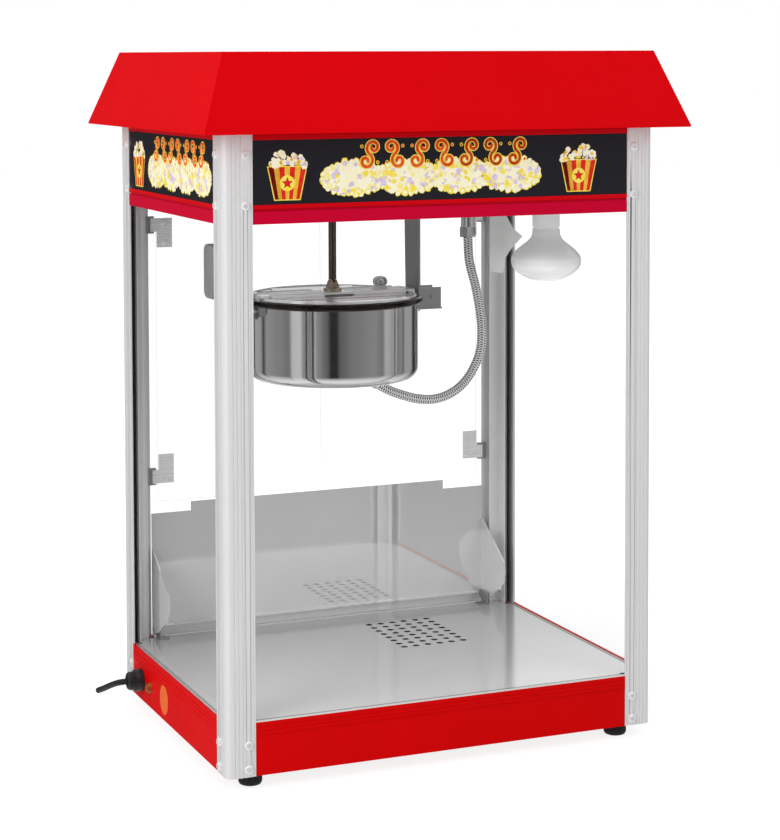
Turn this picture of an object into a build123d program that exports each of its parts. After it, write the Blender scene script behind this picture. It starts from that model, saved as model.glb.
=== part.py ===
from build123d import *
import math
import os

os.makedirs("parts", exist_ok=True)

# Countertop popcorn machine: a glazed cabinet on a base with a crumb drawer, a tilting
# kettle hung from the ceiling, and two rear doors above a flap.
# Millimetres, +Z up, front towards -Y, left towards -X. The origin is on the supporting
# surface, under the middle of the four corner posts.

# --- overall sizes ---
WIDTH = 500.0  # over the corner posts, side to side
DEPTH = 370.0  # over the corner posts, front to rear
HALF_W, HALF_D = WIDTH / 2, DEPTH / 2
Z_FOOT = 14.0  # underside of posts and rails
Z_RAIL = 72.0  # top of the base rails
Z_FLOOR = 71.0  # top of the perforated floor
FLOOR_T = 1.5
Z_SEAT = Z_FLOOR - FLOOR_T  # inner flange of the base rails, under the floor sheet
Z_LIP = 588.0  # lower edge of the fascia
Z_CEIL = 602.0  # underside of the ceiling plate
Z_EAVE = 681.5
SHEET = 1.2  # gauge of the folded sheet pieces
CEIL_TOP = Z_CEIL + SHEET
INNER_X, INNER_Y = HALF_W - 12.1, HALF_D - 12.1  # half sizes of pan, floor and ceiling
RUN = 0.05  # radial running clearance

# --- corner posts ---
FLANGE = 32.0  # flange width of the corner extrusion
POST_T = 2.5  # flange thickness
SLOT0, SLOT1 = 2.6, 10.4  # space between flange and inner lip, from the outer face
SCREW_IN = 24.0  # screw line from the post's outer corner
SCREW_HOLE_R = 2.4
RAIL_SCREW_Z = (22.0, 47.5)
FASCIA_SCREW_Z = (607.5, 660.0)

# --- rails and fascias: gaps at each end, from the post's outer corner ---
RAIL_END = 14.0  # full-length sheet, inside the post slots
WIDE_END = 36.0  # wide flanges of the base rails
BAND_END = FLANGE + 0.2  # proud band between the post edges
RAIL_T = 1.6
RAIL_FLANGE_T = 1.5

# --- fittings on the left rail and the switches in the rear fascia ---
CORD_Y, CORD_Z = 120.0, 38.0
STUD_Y, STUD_Z = 86.0, 37.5
SWITCH_X = (60.0, 100.0, 140.0)
SWITCH_Z = 641.0

# --- crumb drawer box ---
DRAWER_X0, DRAWER_X1, DRAWER_Z0, DRAWER_Z1 = 20.0, 135.0, 22.0, 60.0

# --- kettle: its centre is at y = 0, its pieces are drawn about that centre ---
KETTLE_X = -57.0
KETTLE_R = 97.0
KETTLE_BOTTOM, KETTLE_TOP = 396.5, 484.0
RIM_TOP = 489.4
BRIDGE_TOP = 495.0
PIVOT_Z = 478.0  # tilt axis
PIN_R = 4.0  # tilt pins and stirrer spindle
HANGER_X, HANGER_T = 103.0, 2.0  # hanger bar inner face and thickness
HINGE_Y, HINGE_Z = 19.5, 493.2  # lid hinge lines, either side of the bridge
ENTRY_X, ENTRY_Y = 52.0, 28.0  # hose entry in the kettle bottom

# --- hose gland and lamp, through the ceiling ---
GLAND_X, GLAND_Y = 124.0, 25.0
LAMP_X, LAMP_Y = 188.0, -50.0


# ------------------------------------------------------------ shape helpers
def block(x0, x1, y0, y1, z0, z1):
    """A box between opposite faces; each pair may come in either order."""
    box = Box(abs(x1 - x0), abs(y1 - y0), abs(z1 - z0))
    return Pos((x0 + x1) / 2, (y0 + y1) / 2, (z0 + z1) / 2) * box


def rod_x(radius, x0, x1, y=0.0, z=0.0):
    return Pos((x0 + x1) / 2, y, z) * Rot(0, 90, 0) * Cylinder(radius, x1 - x0)


def rod_y(radius, y0, y1, x=0.0, z=0.0):
    return Pos(x, (y0 + y1) / 2, z) * Rot(90, 0, 0) * Cylinder(radius, y1 - y0)


def rod_z(radius, z0, z1, x=0.0, y=0.0):
    return Pos(x, y, (z0 + z1) / 2) * Cylinder(radius, z1 - z0)


def plate_yz(points, x0, x1):
    face = make_face(Polyline(*[(0, y, z) for y, z in points], close=True))
    return Pos(x0, 0, 0) * extrude(face, amount=x1 - x0, dir=(1, 0, 0))


def plate_xz(points, y0, y1):
    face = make_face(Polyline(*[(x, 0, z) for x, z in points], close=True))
    return Pos(0, y0, 0) * extrude(face, amount=y1 - y0, dir=(0, 1, 0))


def plate_xy(points, z0, z1):
    face = make_face(Polyline(*[(x, y, 0) for x, y in points], close=True))
    return Pos(0, 0, z0) * extrude(face, amount=z1 - z0, dir=(0, 0, 1))


def turned(points):
    """A solid of revolution about Z from an (r, z) outline."""
    face = make_face(Polyline(*[(r, 0, z) for r, z in points], close=True))
    return revolve(face, Axis.Z)


def mirror_x(shape):
    return mirror(shape, Plane.YZ)


def mirror_y(shape):
    return mirror(shape, Plane.XZ)


def first_circle(shape, axis):
    return shape.edges().filter_by(GeomType.CIRCLE).sort_by(axis)[0]


# Pieces for a cabinet side are drawn with the outer post face at y = 0, inside towards +y.
def on_front(shape):
    return Pos(0, -HALF_D, 0) * shape


def on_rear(shape):
    return Pos(0, HALF_D, 0) * mirror_y(shape)


def on_left(shape):
    return Pos(-HALF_W, 0, 0) * Rot(0, 0, -90) * shape


def on_right(shape):
    return Pos(HALF_W, 0, 0) * Rot(0, 0, 90) * shape


def at_kettle(shape):
    return Pos(KETTLE_X, 0, 0) * shape


def save(name, *shapes):
    solids = [solid for shape in shapes for solid in shape.solids()]
    piece = solids[0] if len(solids) == 1 else Compound(children=solids)
    export_step(piece, f"parts/{name}.step")


# -------------------------------------------------------------- rubber feet
FOOT_X, FOOT_Y = 217, 163
foot = turned([(0, 0), (9.6, 0), (11.4, 0.8), (12.4, 2.6), (12.8, 5.0), (12.4, Z_FOOT), (0, Z_FOOT)])
save("rubber_feet", *[Pos(sx * FOOT_X, sy * FOOT_Y, 0) * foot for sx in (-1, 1) for sy in (-1, 1)])

# ------------------------------------------------------------- corner posts
# (x, y) from the post's outer corner, flanges along +x and +y
POST_OUTLINE = (
    (0, 0), (FLANGE, 0), (FLANGE, POST_T), (13.5, POST_T), (13.5, 10.5), (26, 10.5), (26, 12),
    (12, 12), (12, 26), (10.5, 26), (10.5, 13.5), (POST_T, 13.5), (POST_T, FLANGE), (0, FLANGE),
)
# what is cut away to round the outer corner
POST_CORNER = ((0, 0), (7.5, 0), (4.6, 0.7), (2.2, 2.2), (0.7, 4.6), (0, 7.5))
FLUTES = (9.5, 14.0, 18.5, 30.2)  # flute centres from the corner


def corner_post():
    section = make_face(Polyline(*POST_OUTLINE, close=True))
    section -= make_face(Polyline(*POST_CORNER, close=True))
    for centre in FLUTES:
        section -= Pos(centre, 0.2) * Rectangle(1.2, 1.0)
        section -= Pos(0.2, centre) * Rectangle(1.0, 1.2)
    post = Pos(0, 0, Z_FOOT) * extrude(section, amount=Z_EAVE - Z_FOOT, dir=(0, 0, 1))
    for z in RAIL_SCREW_Z + FASCIA_SCREW_Z:
        post -= rod_y(SCREW_HOLE_R, -1, 4, SCREW_IN, z)
        post -= rod_x(SCREW_HOLE_R, -1, 4, SCREW_IN, z)
    return post


front_left = Pos(-HALF_W, -HALF_D, 0) * corner_post()
save("post_front_left", front_left)
save("post_front_right", mirror_x(front_left))
save("post_rear_left", mirror_y(front_left))
save("post_rear_right", mirror_x(mirror_y(front_left)))

# --------------------------------------------------------------- base rails
GROOVE_Z = (57.0, 61.2, 65.4)  # grooves in the upper band
BAND_STEP_Z = 55.5  # the band stands further out above this


def cut_screw_holes(shape, half, levels):
    for side in (-1, 1):
        for z in levels:
            shape -= rod_y(SCREW_HOLE_R, SLOT0 - 1, SLOT0 + 3, side * (half - SCREW_IN), z)
    return shape


def base_rail(half):
    """Rail for a cabinet side that is 2 * half long over the posts."""
    end, wide, band = half - RAIL_END, half - WIDE_END, half - BAND_END
    flange_top = Z_FOOT + RAIL_FLANGE_T
    seat_under = Z_SEAT - RAIL_FLANGE_T
    rail = block(-end, end, SLOT0, SLOT0 + RAIL_T, Z_FOOT, Z_SEAT)
    rail += block(-end, end, SLOT0, SLOT1, seat_under, Z_SEAT)
    rail += block(-end, end, SLOT0, SLOT1, Z_FOOT, flange_top)
    rail += block(-wide, wide, SLOT1, 12.0, seat_under, Z_SEAT)
    rail += block(-wide, wide, SLOT1, 30.0, Z_FOOT, flange_top)
    rail += block(-band, band, 0.8, SLOT0, Z_FOOT, BAND_STEP_Z)
    rail += block(-band, band, 0.2, SLOT0, BAND_STEP_Z, Z_RAIL)
    for z in GROOVE_Z:
        rail -= block(-band - 1, band + 1, 0, 0.8, z - 0.4, z + 0.4)
    return cut_screw_holes(rail, half, RAIL_SCREW_Z)


front_rail = base_rail(HALF_W)
side_rail = base_rail(HALF_D)
drawer_opening = block(DRAWER_X0 - 2, DRAWER_X1 + 2, HALF_D - 40, HALF_D + 2, 18, 66)
left_rail = on_left(side_rail)
left_rail -= rod_x(8.1, -HALF_W - 1, -HALF_W + 6, CORD_Y, CORD_Z)
left_rail -= rod_x(3.1, -HALF_W - 1, -HALF_W + 6, STUD_Y, STUD_Z)
save("base_front_rail", on_front(front_rail))
save("base_rear_rail", on_rear(front_rail) - drawer_opening)
save("base_left_rail", left_rail)
save("base_right_rail", on_right(side_rail))


# ----------------------------------------------------------------- base pan
def base_pan():
    """Open tray with inward flanges and two drawer runners."""
    bottom = Z_FOOT + RAIL_FLANGE_T
    lip = Z_SEAT - SHEET
    runner_top = DRAWER_Z0 - 0.1
    pan = block(-INNER_X, INNER_X, -INNER_Y, INNER_Y, bottom, bottom + SHEET)
    for s in (-1, 1):
        pan += block(s * INNER_X, s * (INNER_X - SHEET), -INNER_Y, INNER_Y, bottom, Z_SEAT)
    for s in (-1, 1):
        pan += block(-INNER_X, INNER_X, s * INNER_Y, s * (INNER_Y - SHEET), bottom, Z_SEAT)
    pan += block(-INNER_X, INNER_X, -INNER_Y, -INNER_Y + 10, lip, Z_SEAT)
    for s in (-1, 1):
        pan += block(s * INNER_X, s * (INNER_X - 10), -INNER_Y, INNER_Y, lip, Z_SEAT)
    pan += block(-INNER_X, INNER_X, INNER_Y - 8, INNER_Y, lip, Z_SEAT)
    # runners under the drawer's sides, each with an outer guide
    for edge, s in ((DRAWER_X0, -1), (DRAWER_X1, 1)):
        pan += block(edge + s * 6, edge - s * 8, 2, INNER_Y, bottom, runner_top)
        pan += block(edge + s * 6, edge + s * 0.2, 2, INNER_Y, bottom, DRAWER_Z0 + 2.5)
    pan -= block(DRAWER_X0 - 1, DRAWER_X1 + 1, INNER_Y - 3, INNER_Y + 2, runner_top, 64)
    pan -= rod_x(11, -INNER_X - 2, -INNER_X + 4, CORD_Y, CORD_Z)
    pan -= rod_x(7, -INNER_X - 2, -INNER_X + 4, STUD_Y, STUD_Z)
    return pan


save("base_pan", base_pan())

# --------------------------------------------------------- perforated floor
HOLE_R = 4.0
HOLE_COLS, HOLE_ROWS = 6, 8
HOLE_X0, HOLE_PITCH_X = 39.5, 15.2
HOLE_Y0, HOLE_PITCH_Y = 20.3, 15.1


def popcorn_floor():
    slot = SLOT0 + 0.1
    gap = FLANGE + 1
    floor = block(-INNER_X, INNER_X, -INNER_Y, INNER_Y, Z_SEAT, Z_FLOOR)
    # the sheet runs on over the rail flanges, between the posts
    for inset_x, inset_y in ((gap, slot), (slot, gap)):
        x, y = HALF_W - inset_x, HALF_D - inset_y
        floor += block(-x, x, -y, y, Z_SEAT, Z_FLOOR)
    floor -= [
        rod_z(HOLE_R, Z_FLOOR - 3, Z_FLOOR + 1, HOLE_X0 + i * HOLE_PITCH_X, HOLE_Y0 + j * HOLE_PITCH_Y)
        for i in range(HOLE_COLS)
        for j in range(HOLE_ROWS)
    ]
    return floor


save("popcorn_floor", popcorn_floor())


# ------------------------------------------------------------- crumb drawer
def crumb_drawer():
    x0, x1, z0, z1 = DRAWER_X0, DRAWER_X1, DRAWER_Z0, DRAWER_Z1
    box_end = HALF_D - SLOT0
    front = HALF_D + 0.05
    drawer = block(x0, x1, 6, box_end, z0, z1)
    drawer -= block(x0 + SHEET, x1 - SHEET, 6 + SHEET, box_end - SHEET, z0 + SHEET, z1 + 1)
    # face plate on the rear, joined to the box
    drawer += block(x0 - 7, x1 + 7, front, HALF_D + 1.65, 17, 67)
    drawer += block(x0, x1, box_end - SHEET, front, z0, z1)
    # hooked pull
    drawer += block(x0 + 25, x1 - 25, HALF_D + 1.65, HALF_D + 12, 59, 61)
    drawer += block(x0 + 25, x1 - 25, HALF_D + 10.4, HALF_D + 12, 52, 59)
    return drawer


save("crumb_drawer", crumb_drawer())

# -------------------------------------------------------------------- glass
GLASS_T = 4.0
GLASS_IN = 4.5  # outer face of a pane from the post's outer face
GLASS_END = 14.5  # edge of a pane from the post's outer corner
GLASS_Z0, GLASS_Z1 = 71.1, 600.0


def pane(half):
    x = half - GLASS_END
    return block(-x, x, GLASS_IN, GLASS_IN + GLASS_T, GLASS_Z0, GLASS_Z1)


def gasket():
    """U strip in a post's slot along x, from the post's outer corner."""
    top = GLASS_Z1 - 14.0
    strip = block(13.7, 27.2, 2.7, 4.4, GLASS_Z0, top)
    strip += block(13.7, 26.0, 8.6, 10.3, GLASS_Z0, top)
    return strip + block(13.6, 14.3, 2.7, 10.3, GLASS_Z0, top)


side_pane = on_left(pane(HALF_D))
save("glass_front", on_front(pane(HALF_W)))
save("glass_sides", side_pane, mirror_x(side_pane))

front_gasket = Pos(-HALF_W, -HALF_D, 0) * gasket()
side_gasket = Pos(-HALF_W, -HALF_D, 0) * mirror(gasket(), Plane((0, 0, 0), z_dir=(1, -1, 0)))
save(
    "glass_gaskets",
    front_gasket,
    mirror_x(front_gasket),
    side_gasket,
    mirror_x(side_gasket),
    mirror_y(side_gasket),
    mirror_x(mirror_y(side_gasket)),
)

# --------------------------------------------------- fascias and sign panels
SIGN_Z0, SIGN_Z1 = 608.0, 674.5
FASCIA_TOP = Z_EAVE - 0.1


def fascia(half):
    end, band = half - RAIL_END, half - BAND_END
    sheet = block(-end, end, SLOT0, SLOT0 + RAIL_T, Z_LIP, FASCIA_TOP)
    sheet += block(-band, band, 0.2, SLOT0, SIGN_Z1, FASCIA_TOP)  # upper rail
    sheet -= block(-band - 1, band + 1, 0, 0.9, Z_EAVE - 1.6, Z_EAVE)
    sheet += block(-band, band, 0.2, SLOT0, 603.6, SIGN_Z0)  # lower rail
    sheet += block(-band, band, 0.6, SLOT0, Z_LIP, 601.2)  # lower lip
    return sheet


def rear_fascia():
    """Filled in where the others carry a sign, with the switch openings."""
    band = HALF_W - BAND_END
    sheet = fascia(HALF_W) + block(-band, band, 0.9, SLOT0, SIGN_Z0, SIGN_Z1)
    sheet = on_rear(cut_screw_holes(sheet, HALF_W, FASCIA_SCREW_Z))
    for x in SWITCH_X:
        sheet -= block(x - 9.6, x + 9.6, HALF_D - 6, HALF_D + 1, SWITCH_Z - 14.1, SWITCH_Z + 14.1)
    return sheet


def sign(half):
    x = half - FLANGE - 0.4
    return block(-x, x, 0.9, SLOT0 - 0.05, SIGN_Z0 + 0.05, SIGN_Z1 - 0.05)


side_fascia = on_left(cut_screw_holes(fascia(HALF_D), HALF_D, FASCIA_SCREW_Z))
save("fascia_front", on_front(cut_screw_holes(fascia(HALF_W), HALF_W, FASCIA_SCREW_Z)))
save("fascia_sides", side_fascia, mirror_x(side_fascia))
save("fascia_rear", rear_fascia())
side_sign = on_left(sign(HALF_D))
save("sign_panels", on_front(sign(HALF_W)), side_sign, mirror_x(side_sign))

# --------------------------------------------------------------------- roof
EAVE_W, EAVE_D = 560.0, 432.0
ROOF_TOP_W, ROOF_TOP_D = 500.0, 372.0  # flat top
Z_TOP = 765.0
SKIRT = 1.8  # short vertical edge at the eaves


def roof_body(inset, z_bottom, z_slope, z_top):
    """Sloped body on a straight skirt, in from the outside by inset."""
    eave_w, eave_d = EAVE_W - 2 * inset, EAVE_D - 2 * inset
    top = Rectangle(ROOF_TOP_W - 2 * inset, ROOF_TOP_D - 2 * inset)
    slope = loft([Pos(0, 0, z_slope) * Rectangle(eave_w, eave_d), Pos(0, 0, z_top) * top])
    return slope + block(-eave_w / 2, eave_w / 2, -eave_d / 2, eave_d / 2, z_bottom, z_slope)


roof = roof_body(0, Z_EAVE, Z_EAVE + SKIRT, Z_TOP)
roof -= roof_body(SHEET, Z_EAVE + SHEET, Z_EAVE + SKIRT - 0.3, Z_TOP - SHEET)
roof -= block(-HALF_W + 8, HALF_W - 8, -HALF_D + 8, HALF_D - 8, Z_EAVE - 1, Z_EAVE + SHEET + 1)
save("roof_shell", roof)


# ------------------------------------------------------------ ceiling plate
def ceiling_plate():
    """Flat plate with upturned edges and holes for shaft, hose gland and lamp."""
    x, y = INNER_X, INNER_Y
    plate = block(-x, x, -y, y, Z_CEIL, CEIL_TOP)
    for s in (-1, 1):
        plate += block(s * x, s * (x - SHEET), -y + 16, y - 16, Z_CEIL, Z_CEIL + 30)
        plate += block(-x + 16, x - 16, s * y, s * (y - SHEET), Z_CEIL, Z_CEIL + 18)
    holes = ((7.0, KETTLE_X, 0), (6.5, GLAND_X, GLAND_Y), (9.0, LAMP_X, LAMP_Y))
    for radius, hole_x, hole_y in holes:
        plate -= rod_z(radius, Z_CEIL - 1, Z_CEIL + 3, hole_x, hole_y)
    return plate


save("ceiling_plate", ceiling_plate())

# ---------------------------------------------------------- kettle hangers
HANGER_OUTLINE = ((-9, Z_CEIL), (33, Z_CEIL), (29, 472), (22, 467), (-6, 467), (-9, 470))  # (y, z)


def hanger(reach):
    """Right hanger bar; its channel bracket stands out by reach."""
    face = HANGER_X + HANGER_T
    bar = plate_yz(HANGER_OUTLINE, HANGER_X, face)
    bar += block(face, face + 18, -9, 33, Z_CEIL - 2, Z_CEIL)
    bracket = block(face, face + 1.6, -8.5, 17, 471.5, 494.5)
    bracket += block(face, face + reach, -8.5, -6.9, 471.5, 494.5)
    bracket += block(face, face + reach, 15.4, 17, 471.5, 494.5)
    bracket += block(face, face + reach + 1, -9.5, 17, 469.5, 471.5)
    bracket -= rod_y(2.6, -10, -6, face + reach - 14, 484)
    return bar + bracket - rod_x(PIN_R + RUN, HANGER_X - 1, face + 2, 0, PIVOT_Z)


save("kettle_hangers", at_kettle(mirror_x(hanger(22))), at_kettle(hanger(26)))

# ------------------------------------------------- stirrer and its drive
SHAFT_R = 4.5
WHEEL_R = 27.0  # output wheel inside the gearbox


def stirrer_gearmotor():
    body = block(-38, 38, -30, 44, CEIL_TOP + 3, CEIL_TOP + 45)
    body = fillet(body.edges().filter_by(Axis.Z), 6)
    body += block(-48, 48, -24, 38, CEIL_TOP, CEIL_TOP + 3)
    body += rod_z(24, CEIL_TOP + 45, CEIL_TOP + 105, 0, 22)
    body += rod_z(9, CEIL_TOP + 105, CEIL_TOP + 112, 0, 22)
    body -= rod_z(SHAFT_R + RUN, Z_CEIL, CEIL_TOP + 30)
    body -= rod_z(WHEEL_R + 0.6, CEIL_TOP + 8, CEIL_TOP + 18)
    return body


def drive_shaft():
    shaft = rod_z(SHAFT_R, 508.2, CEIL_TOP + 29)
    shaft += rod_z(WHEEL_R, CEIL_TOP + 9, CEIL_TOP + 17)
    return shaft + block(-1.5, 1.5, -2, 2, 504.7, 508.3)  # driving tongue


# (r, z) of the slotted hub, then (x, y) of one arm and of the blade standing on it
HUB_OUTLINE = ((0, 495.05), (10.4, 495.05), (10.4, 498.4), (7.8, 499.2), (5.0, 507.6), (0, 507.6))
ARM_OUTLINE = ((0, -3), (40, -5), (76, -16), (82, -12), (78, -8), (44, 2), (0, 3))
BLADE_OUTLINE = ((30, -4.5), (76, -16), (78, -13), (32, -1))


def stirrer():
    body = turned(HUB_OUTLINE)
    body -= block(-1.75, 1.75, -12, 12, 499.4, 509)
    body += rod_z(PIN_R, 420, 495.1)
    body += rod_z(8.0, 419.5, 434)
    for angle in (0, 180):
        arm = plate_xy(ARM_OUTLINE, 420, 424) + plate_xy(BLADE_OUTLINE, 424, 431)
        body += Rot(0, 0, angle) * arm
    return body


save("stirrer_gearmotor", at_kettle(stirrer_gearmotor()))
save("drive_shaft", at_kettle(drive_shaft()))
save("stirrer", at_kettle(stirrer()))


# ------------------------------------------------- kettle shell, pan and rim
def rounded_drum(radius, z0, z1, rounding):
    drum = rod_z(radius, z0, z1)
    return fillet(drum.edges().sort_by(Axis.Z)[0], rounding)


def kettle_shell():
    shell = rounded_drum(KETTLE_R, KETTLE_BOTTOM, KETTLE_TOP, 14)
    shell -= rounded_drum(KETTLE_R - SHEET, KETTLE_BOTTOM + SHEET, KETTLE_TOP + 1, 14 - SHEET)
    shell -= rod_z(6.1, KETTLE_BOTTOM - 1, KETTLE_BOTTOM + 3, ENTRY_X, ENTRY_Y)
    for s in (-1, 1):
        shell -= rod_x(3.1, s * KETTLE_R - 4, s * KETTLE_R + 4, 0, PIVOT_Z)
    return shell


# (r, z) outlines
PAN_OUTLINE = (
    (0, 415), (80, 415), (86, 416.5), (90.5, 420.5), (92, 427), (92, 484.05), (97, 484.05),
    (97, 485.2), (90, 485.2), (90, 427), (88.8, 421.8), (85, 418.4), (79.5, 417), (0, 417),
)
RIM_OUTLINE = (
    (93, 485.25), (97.1, 485.25), (97.1, 482.6), (98.6, 482.3), (100.6, 482.9), (101.9, 484.3),
    (102.4, 485.9), (101.9, 487.5), (100.6, 488.9), (98.6, RIM_TOP), (94.4, RIM_TOP), (93, 488.4),
)
save("kettle_shell", at_kettle(kettle_shell()))
save("kettle_pan", at_kettle(turned(PAN_OUTLINE)))
save("kettle_rim", at_kettle(turned(RIM_OUTLINE)))


# ------------------------------------------------------------ kettle heater
def kettle_heater():
    """Element plate under the pan, with its thermostat and terminals."""
    plate = rod_z(74, 409, 414.9) - rod_z(40, 408, 411)
    plate += turned([(52, 405.5), (62, 405.5), (62, 409.2), (52, 409.2)])
    plate += rod_z(9, 402, 411.2, 22, 0)
    plate += rod_z(6, 403, 411.2, -22, 10)
    plate += block(-8, 8, -24, -14, 402, 411.2)
    for s in (-1, 1):
        plate += block(s * 57 - 4, s * 57 + 4, -3, 3, 400, 406)
    plate += turned([(30, 410.0), (42, 410.0), (42, 412.0), (30, 412.0)])
    return plate + rod_z(41, 411, 414.9)


save("kettle_heater", at_kettle(kettle_heater()))


# -------------------------------------------------------------- pivot pins
def pivot_pin(length):
    """Right pin: a boss inside the shell wall, a collar outside it and the pin."""
    pin = rod_x(4.25, KETTLE_R - 0.7, HANGER_X - 0.4, 0, PIVOT_Z) - rod_z(KETTLE_R, 400, 490)
    pin += rod_x(3.0, KETTLE_R - 5.5, KETTLE_R + 2, 0, PIVOT_Z)
    pin -= rod_z(92.05, 400, 490)  # stops at the pan wall
    return pin + rod_x(PIN_R, HANGER_X - 1, HANGER_X + length, 0, PIVOT_Z)


# the left pin runs on to carry the tilt lever
save("kettle_pivot_pins", at_kettle(mirror_x(pivot_pin(35.0))), at_kettle(pivot_pin(12.0)))

# --------------------------------------------------------- lid bridge, lids
BRIDGE_BASE = 491.6  # top of the bridge's flat, under its ribs
LID_Z0, LID_Z1 = 490.0, 491.2
LID_RIB_TOP = 492.6
HINGE_ROD_R = 1.3


def lid_bridge():
    """Ribbed bar across the rim, with hinge lugs and rods for both half lids."""
    bridge = block(-94, 94, -16, 16, RIM_TOP, BRIDGE_BASE)
    for y0, y1 in ((-16, -11.5), (-7.5, -4.5), (4.5, 7.5), (11.5, 16)):
        bridge += block(-94, 94, y0, y1, BRIDGE_BASE, BRIDGE_TOP)
    bridge += rod_z(13, BRIDGE_BASE, BRIDGE_TOP)
    bridge -= rod_z(PIN_R + RUN, 480, 500)
    for s in (-1, 1):
        for x0, x1 in ((-92, -84), (84, 92)):
            bridge += block(x0, x1, s * 15, s * (HINGE_Y + 2.2), HINGE_Z - 1.4, HINGE_Z + 1.8)
        bridge += rod_x(HINGE_ROD_R, -92, 92, s * HINGE_Y, HINGE_Z)
    return bridge


def rear_half_lid():
    lid = rod_z(96, LID_Z0, LID_Z1) & block(-100, 100, HINGE_Y + 0.3, 100, 480, 500)
    lid -= block(-97, -81.5, 0, HINGE_Y + 4, 480, 500)
    lid -= block(81.5, 97, 0, HINGE_Y + 4, 480, 500)
    # raised stiffening border
    border = rod_z(94, LID_Z1, LID_RIB_TOP) - rod_z(90.5, 490.5, 494)
    lid += border & block(-100, 100, HINGE_Y + 5, 100, 480, 500)
    # two pressed ribs across the sheet
    for y in (44.0, 66.0):
        half = math.sqrt(86.0**2 - (y + 4) ** 2)
        rib = ((y - 5, LID_Z1), (y - 2.2, LID_RIB_TOP), (y + 2.2, LID_RIB_TOP), (y + 5, LID_Z1))
        lid += plate_yz(rib, -half, half)
    # hinge barrels
    for x0, x1 in ((-81, -18), (18, 81)):
        lid += rod_x(2.6, x0, x1, HINGE_Y, HINGE_Z)
    lid -= rod_x(HINGE_ROD_R + RUN, -99, 99, HINGE_Y, HINGE_Z)
    return lid - block(-16, 16, 0, HINGE_Y + 15, 480, 500)


rear_lid = rear_half_lid()
save("lid_bridge", at_kettle(lid_bridge()))
save("rear_lid", at_kettle(rear_lid))
save("front_lid", at_kettle(mirror_y(rear_lid)))

KNOB_X, KNOB_Y = 72.0, 32.0  # on the rear lid
KNOB_OUTLINE = (  # (r, z)
    (0, 491.25), (4.5, 491.25), (4.5, 492.4), (2.8, 493.2), (2.8, 494.0), (5.6, 494.6),
    (7.9, 496.4), (8.6, 499), (7.9, 502.0), (5.6, 504.4), (2.6, 505.7), (0, 506.0),
)
save("lid_knob", at_kettle(Pos(KNOB_X, KNOB_Y, 0) * turned(KNOB_OUTLINE)))

# -------------------------------------------------------------- tilt lever
LEVER_X0, LEVER_X1 = -HANGER_X - 33.0, -HANGER_X - 30.0
# (y, z) of the lever, then of the slot it fills in the grip
LEVER_OUTLINE = (
    (-9, 470), (9, 470), (12, 478), (18, 492), (27, 500), (27, 540), (15, 540), (15, 508),
    (-6, 492), (-10, 480),
)
GRIP_SLOT = (
    (-12, 460), (12.05, 477), (18.05, 491.9), (27.05, 499.9), (27.05, 540.05),
    (14.95, 540.05), (14.95, 508.05), (-12, 492),
)


def lever_grip():
    grip = block(LEVER_X0 - 5, LEVER_X1 + 5, 6, 38, 490, 551)
    grip = fillet(grip.edges().filter_by(Axis.X), 9)
    faces = grip.faces().sort_by(Axis.X)
    grip = fillet(faces[0].edges() + faces[-1].edges(), 2.5)
    return grip - plate_yz(GRIP_SLOT, LEVER_X0 - 0.02, LEVER_X1 + 0.02)


lever = plate_yz(LEVER_OUTLINE, LEVER_X0, LEVER_X1)
lever -= rod_x(PIN_R + 0.01, LEVER_X0 - 1, LEVER_X1 + 1, 0, PIVOT_Z)
save("tilt_lever", at_kettle(lever))
save("tilt_lever_grip", at_kettle(lever_grip()))

# ------------------------------------------- metal hose and its end fittings
ELBOW_TILT = 114  # degrees from +Z towards +X
ELBOW_Z = KETTLE_BOTTOM - 9
HOSE_R = 5.6
HOSE_POINTS = (  # (x, z) from the ceiling gland down and round under the kettle
    (124.0, 547.5), (126.0, 519.3), (134.2, 488.8), (140.3, 458.4), (142.4, 435.8),
    (140.8, 413.4), (132.8, 393.7), (121.5, 377.7), (105.5, 365.6), (84.6, 359.0),
    (62.0, 360.0), (40.0, 366.2), (22.0, 373.6),
)


def elbow():
    """Fitting where the hose enters the kettle bottom."""
    body = rod_z(6.0, ELBOW_Z, KETTLE_BOTTOM + 4)
    body += rod_z(9.0, KETTLE_BOTTOM - 5, KETTLE_BOTTOM)
    body += rod_z(8.5, KETTLE_BOTTOM + 1.25, KETTLE_BOTTOM + 4)
    body += Pos(0, 0, ELBOW_Z) * Sphere(6.0)
    body += Pos(0, 0, ELBOW_Z) * Rot(0, ELBOW_TILT, 0) * Pos(0, 0, 9) * Cylinder(6.6, 14)
    return Pos(ENTRY_X, ENTRY_Y, 0) * body


def hose_gland():
    gland = rod_z(6.4, 556, CEIL_TOP + 6)
    gland += rod_z(9.0, Z_CEIL - 14, Z_CEIL - 0.05)
    gland += rod_z(8.2, 560, Z_CEIL - 14)
    gland += Pos(0, 0, 548) * extrude(RegularPolygon(10.4, 6), amount=12)
    gland += rod_z(10, CEIL_TOP + 0.05, CEIL_TOP + 6)
    return Pos(GLAND_X, GLAND_Y, 0) * gland


def round_sweep(path, radius):
    return sweep(Plane(path @ 0, z_dir=path % 0) * Circle(radius), path=path)


def hose():
    tilt = math.radians(ELBOW_TILT)
    outlet = Vector(math.sin(tilt), 0, math.cos(tilt))
    end = Vector(KETTLE_X + ENTRY_X, ENTRY_Y, ELBOW_Z) + outlet * 16.6
    # y drifts evenly from the gland to the kettle entry
    y_step = (ENTRY_Y - GLAND_Y) / len(HOSE_POINTS)
    points = [(x, GLAND_Y + y_step * i, z) for i, (x, z) in enumerate(HOSE_POINTS)]
    path = Spline(*points, end, tangents=[(0, 0, -1), (-math.sin(tilt), 0, -math.cos(tilt))])
    return round_sweep(path, HOSE_R)


save("conduit_connector", at_kettle(elbow()))
save("conduit_gland", hose_gland())
save("heater_conduit", hose())

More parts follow.
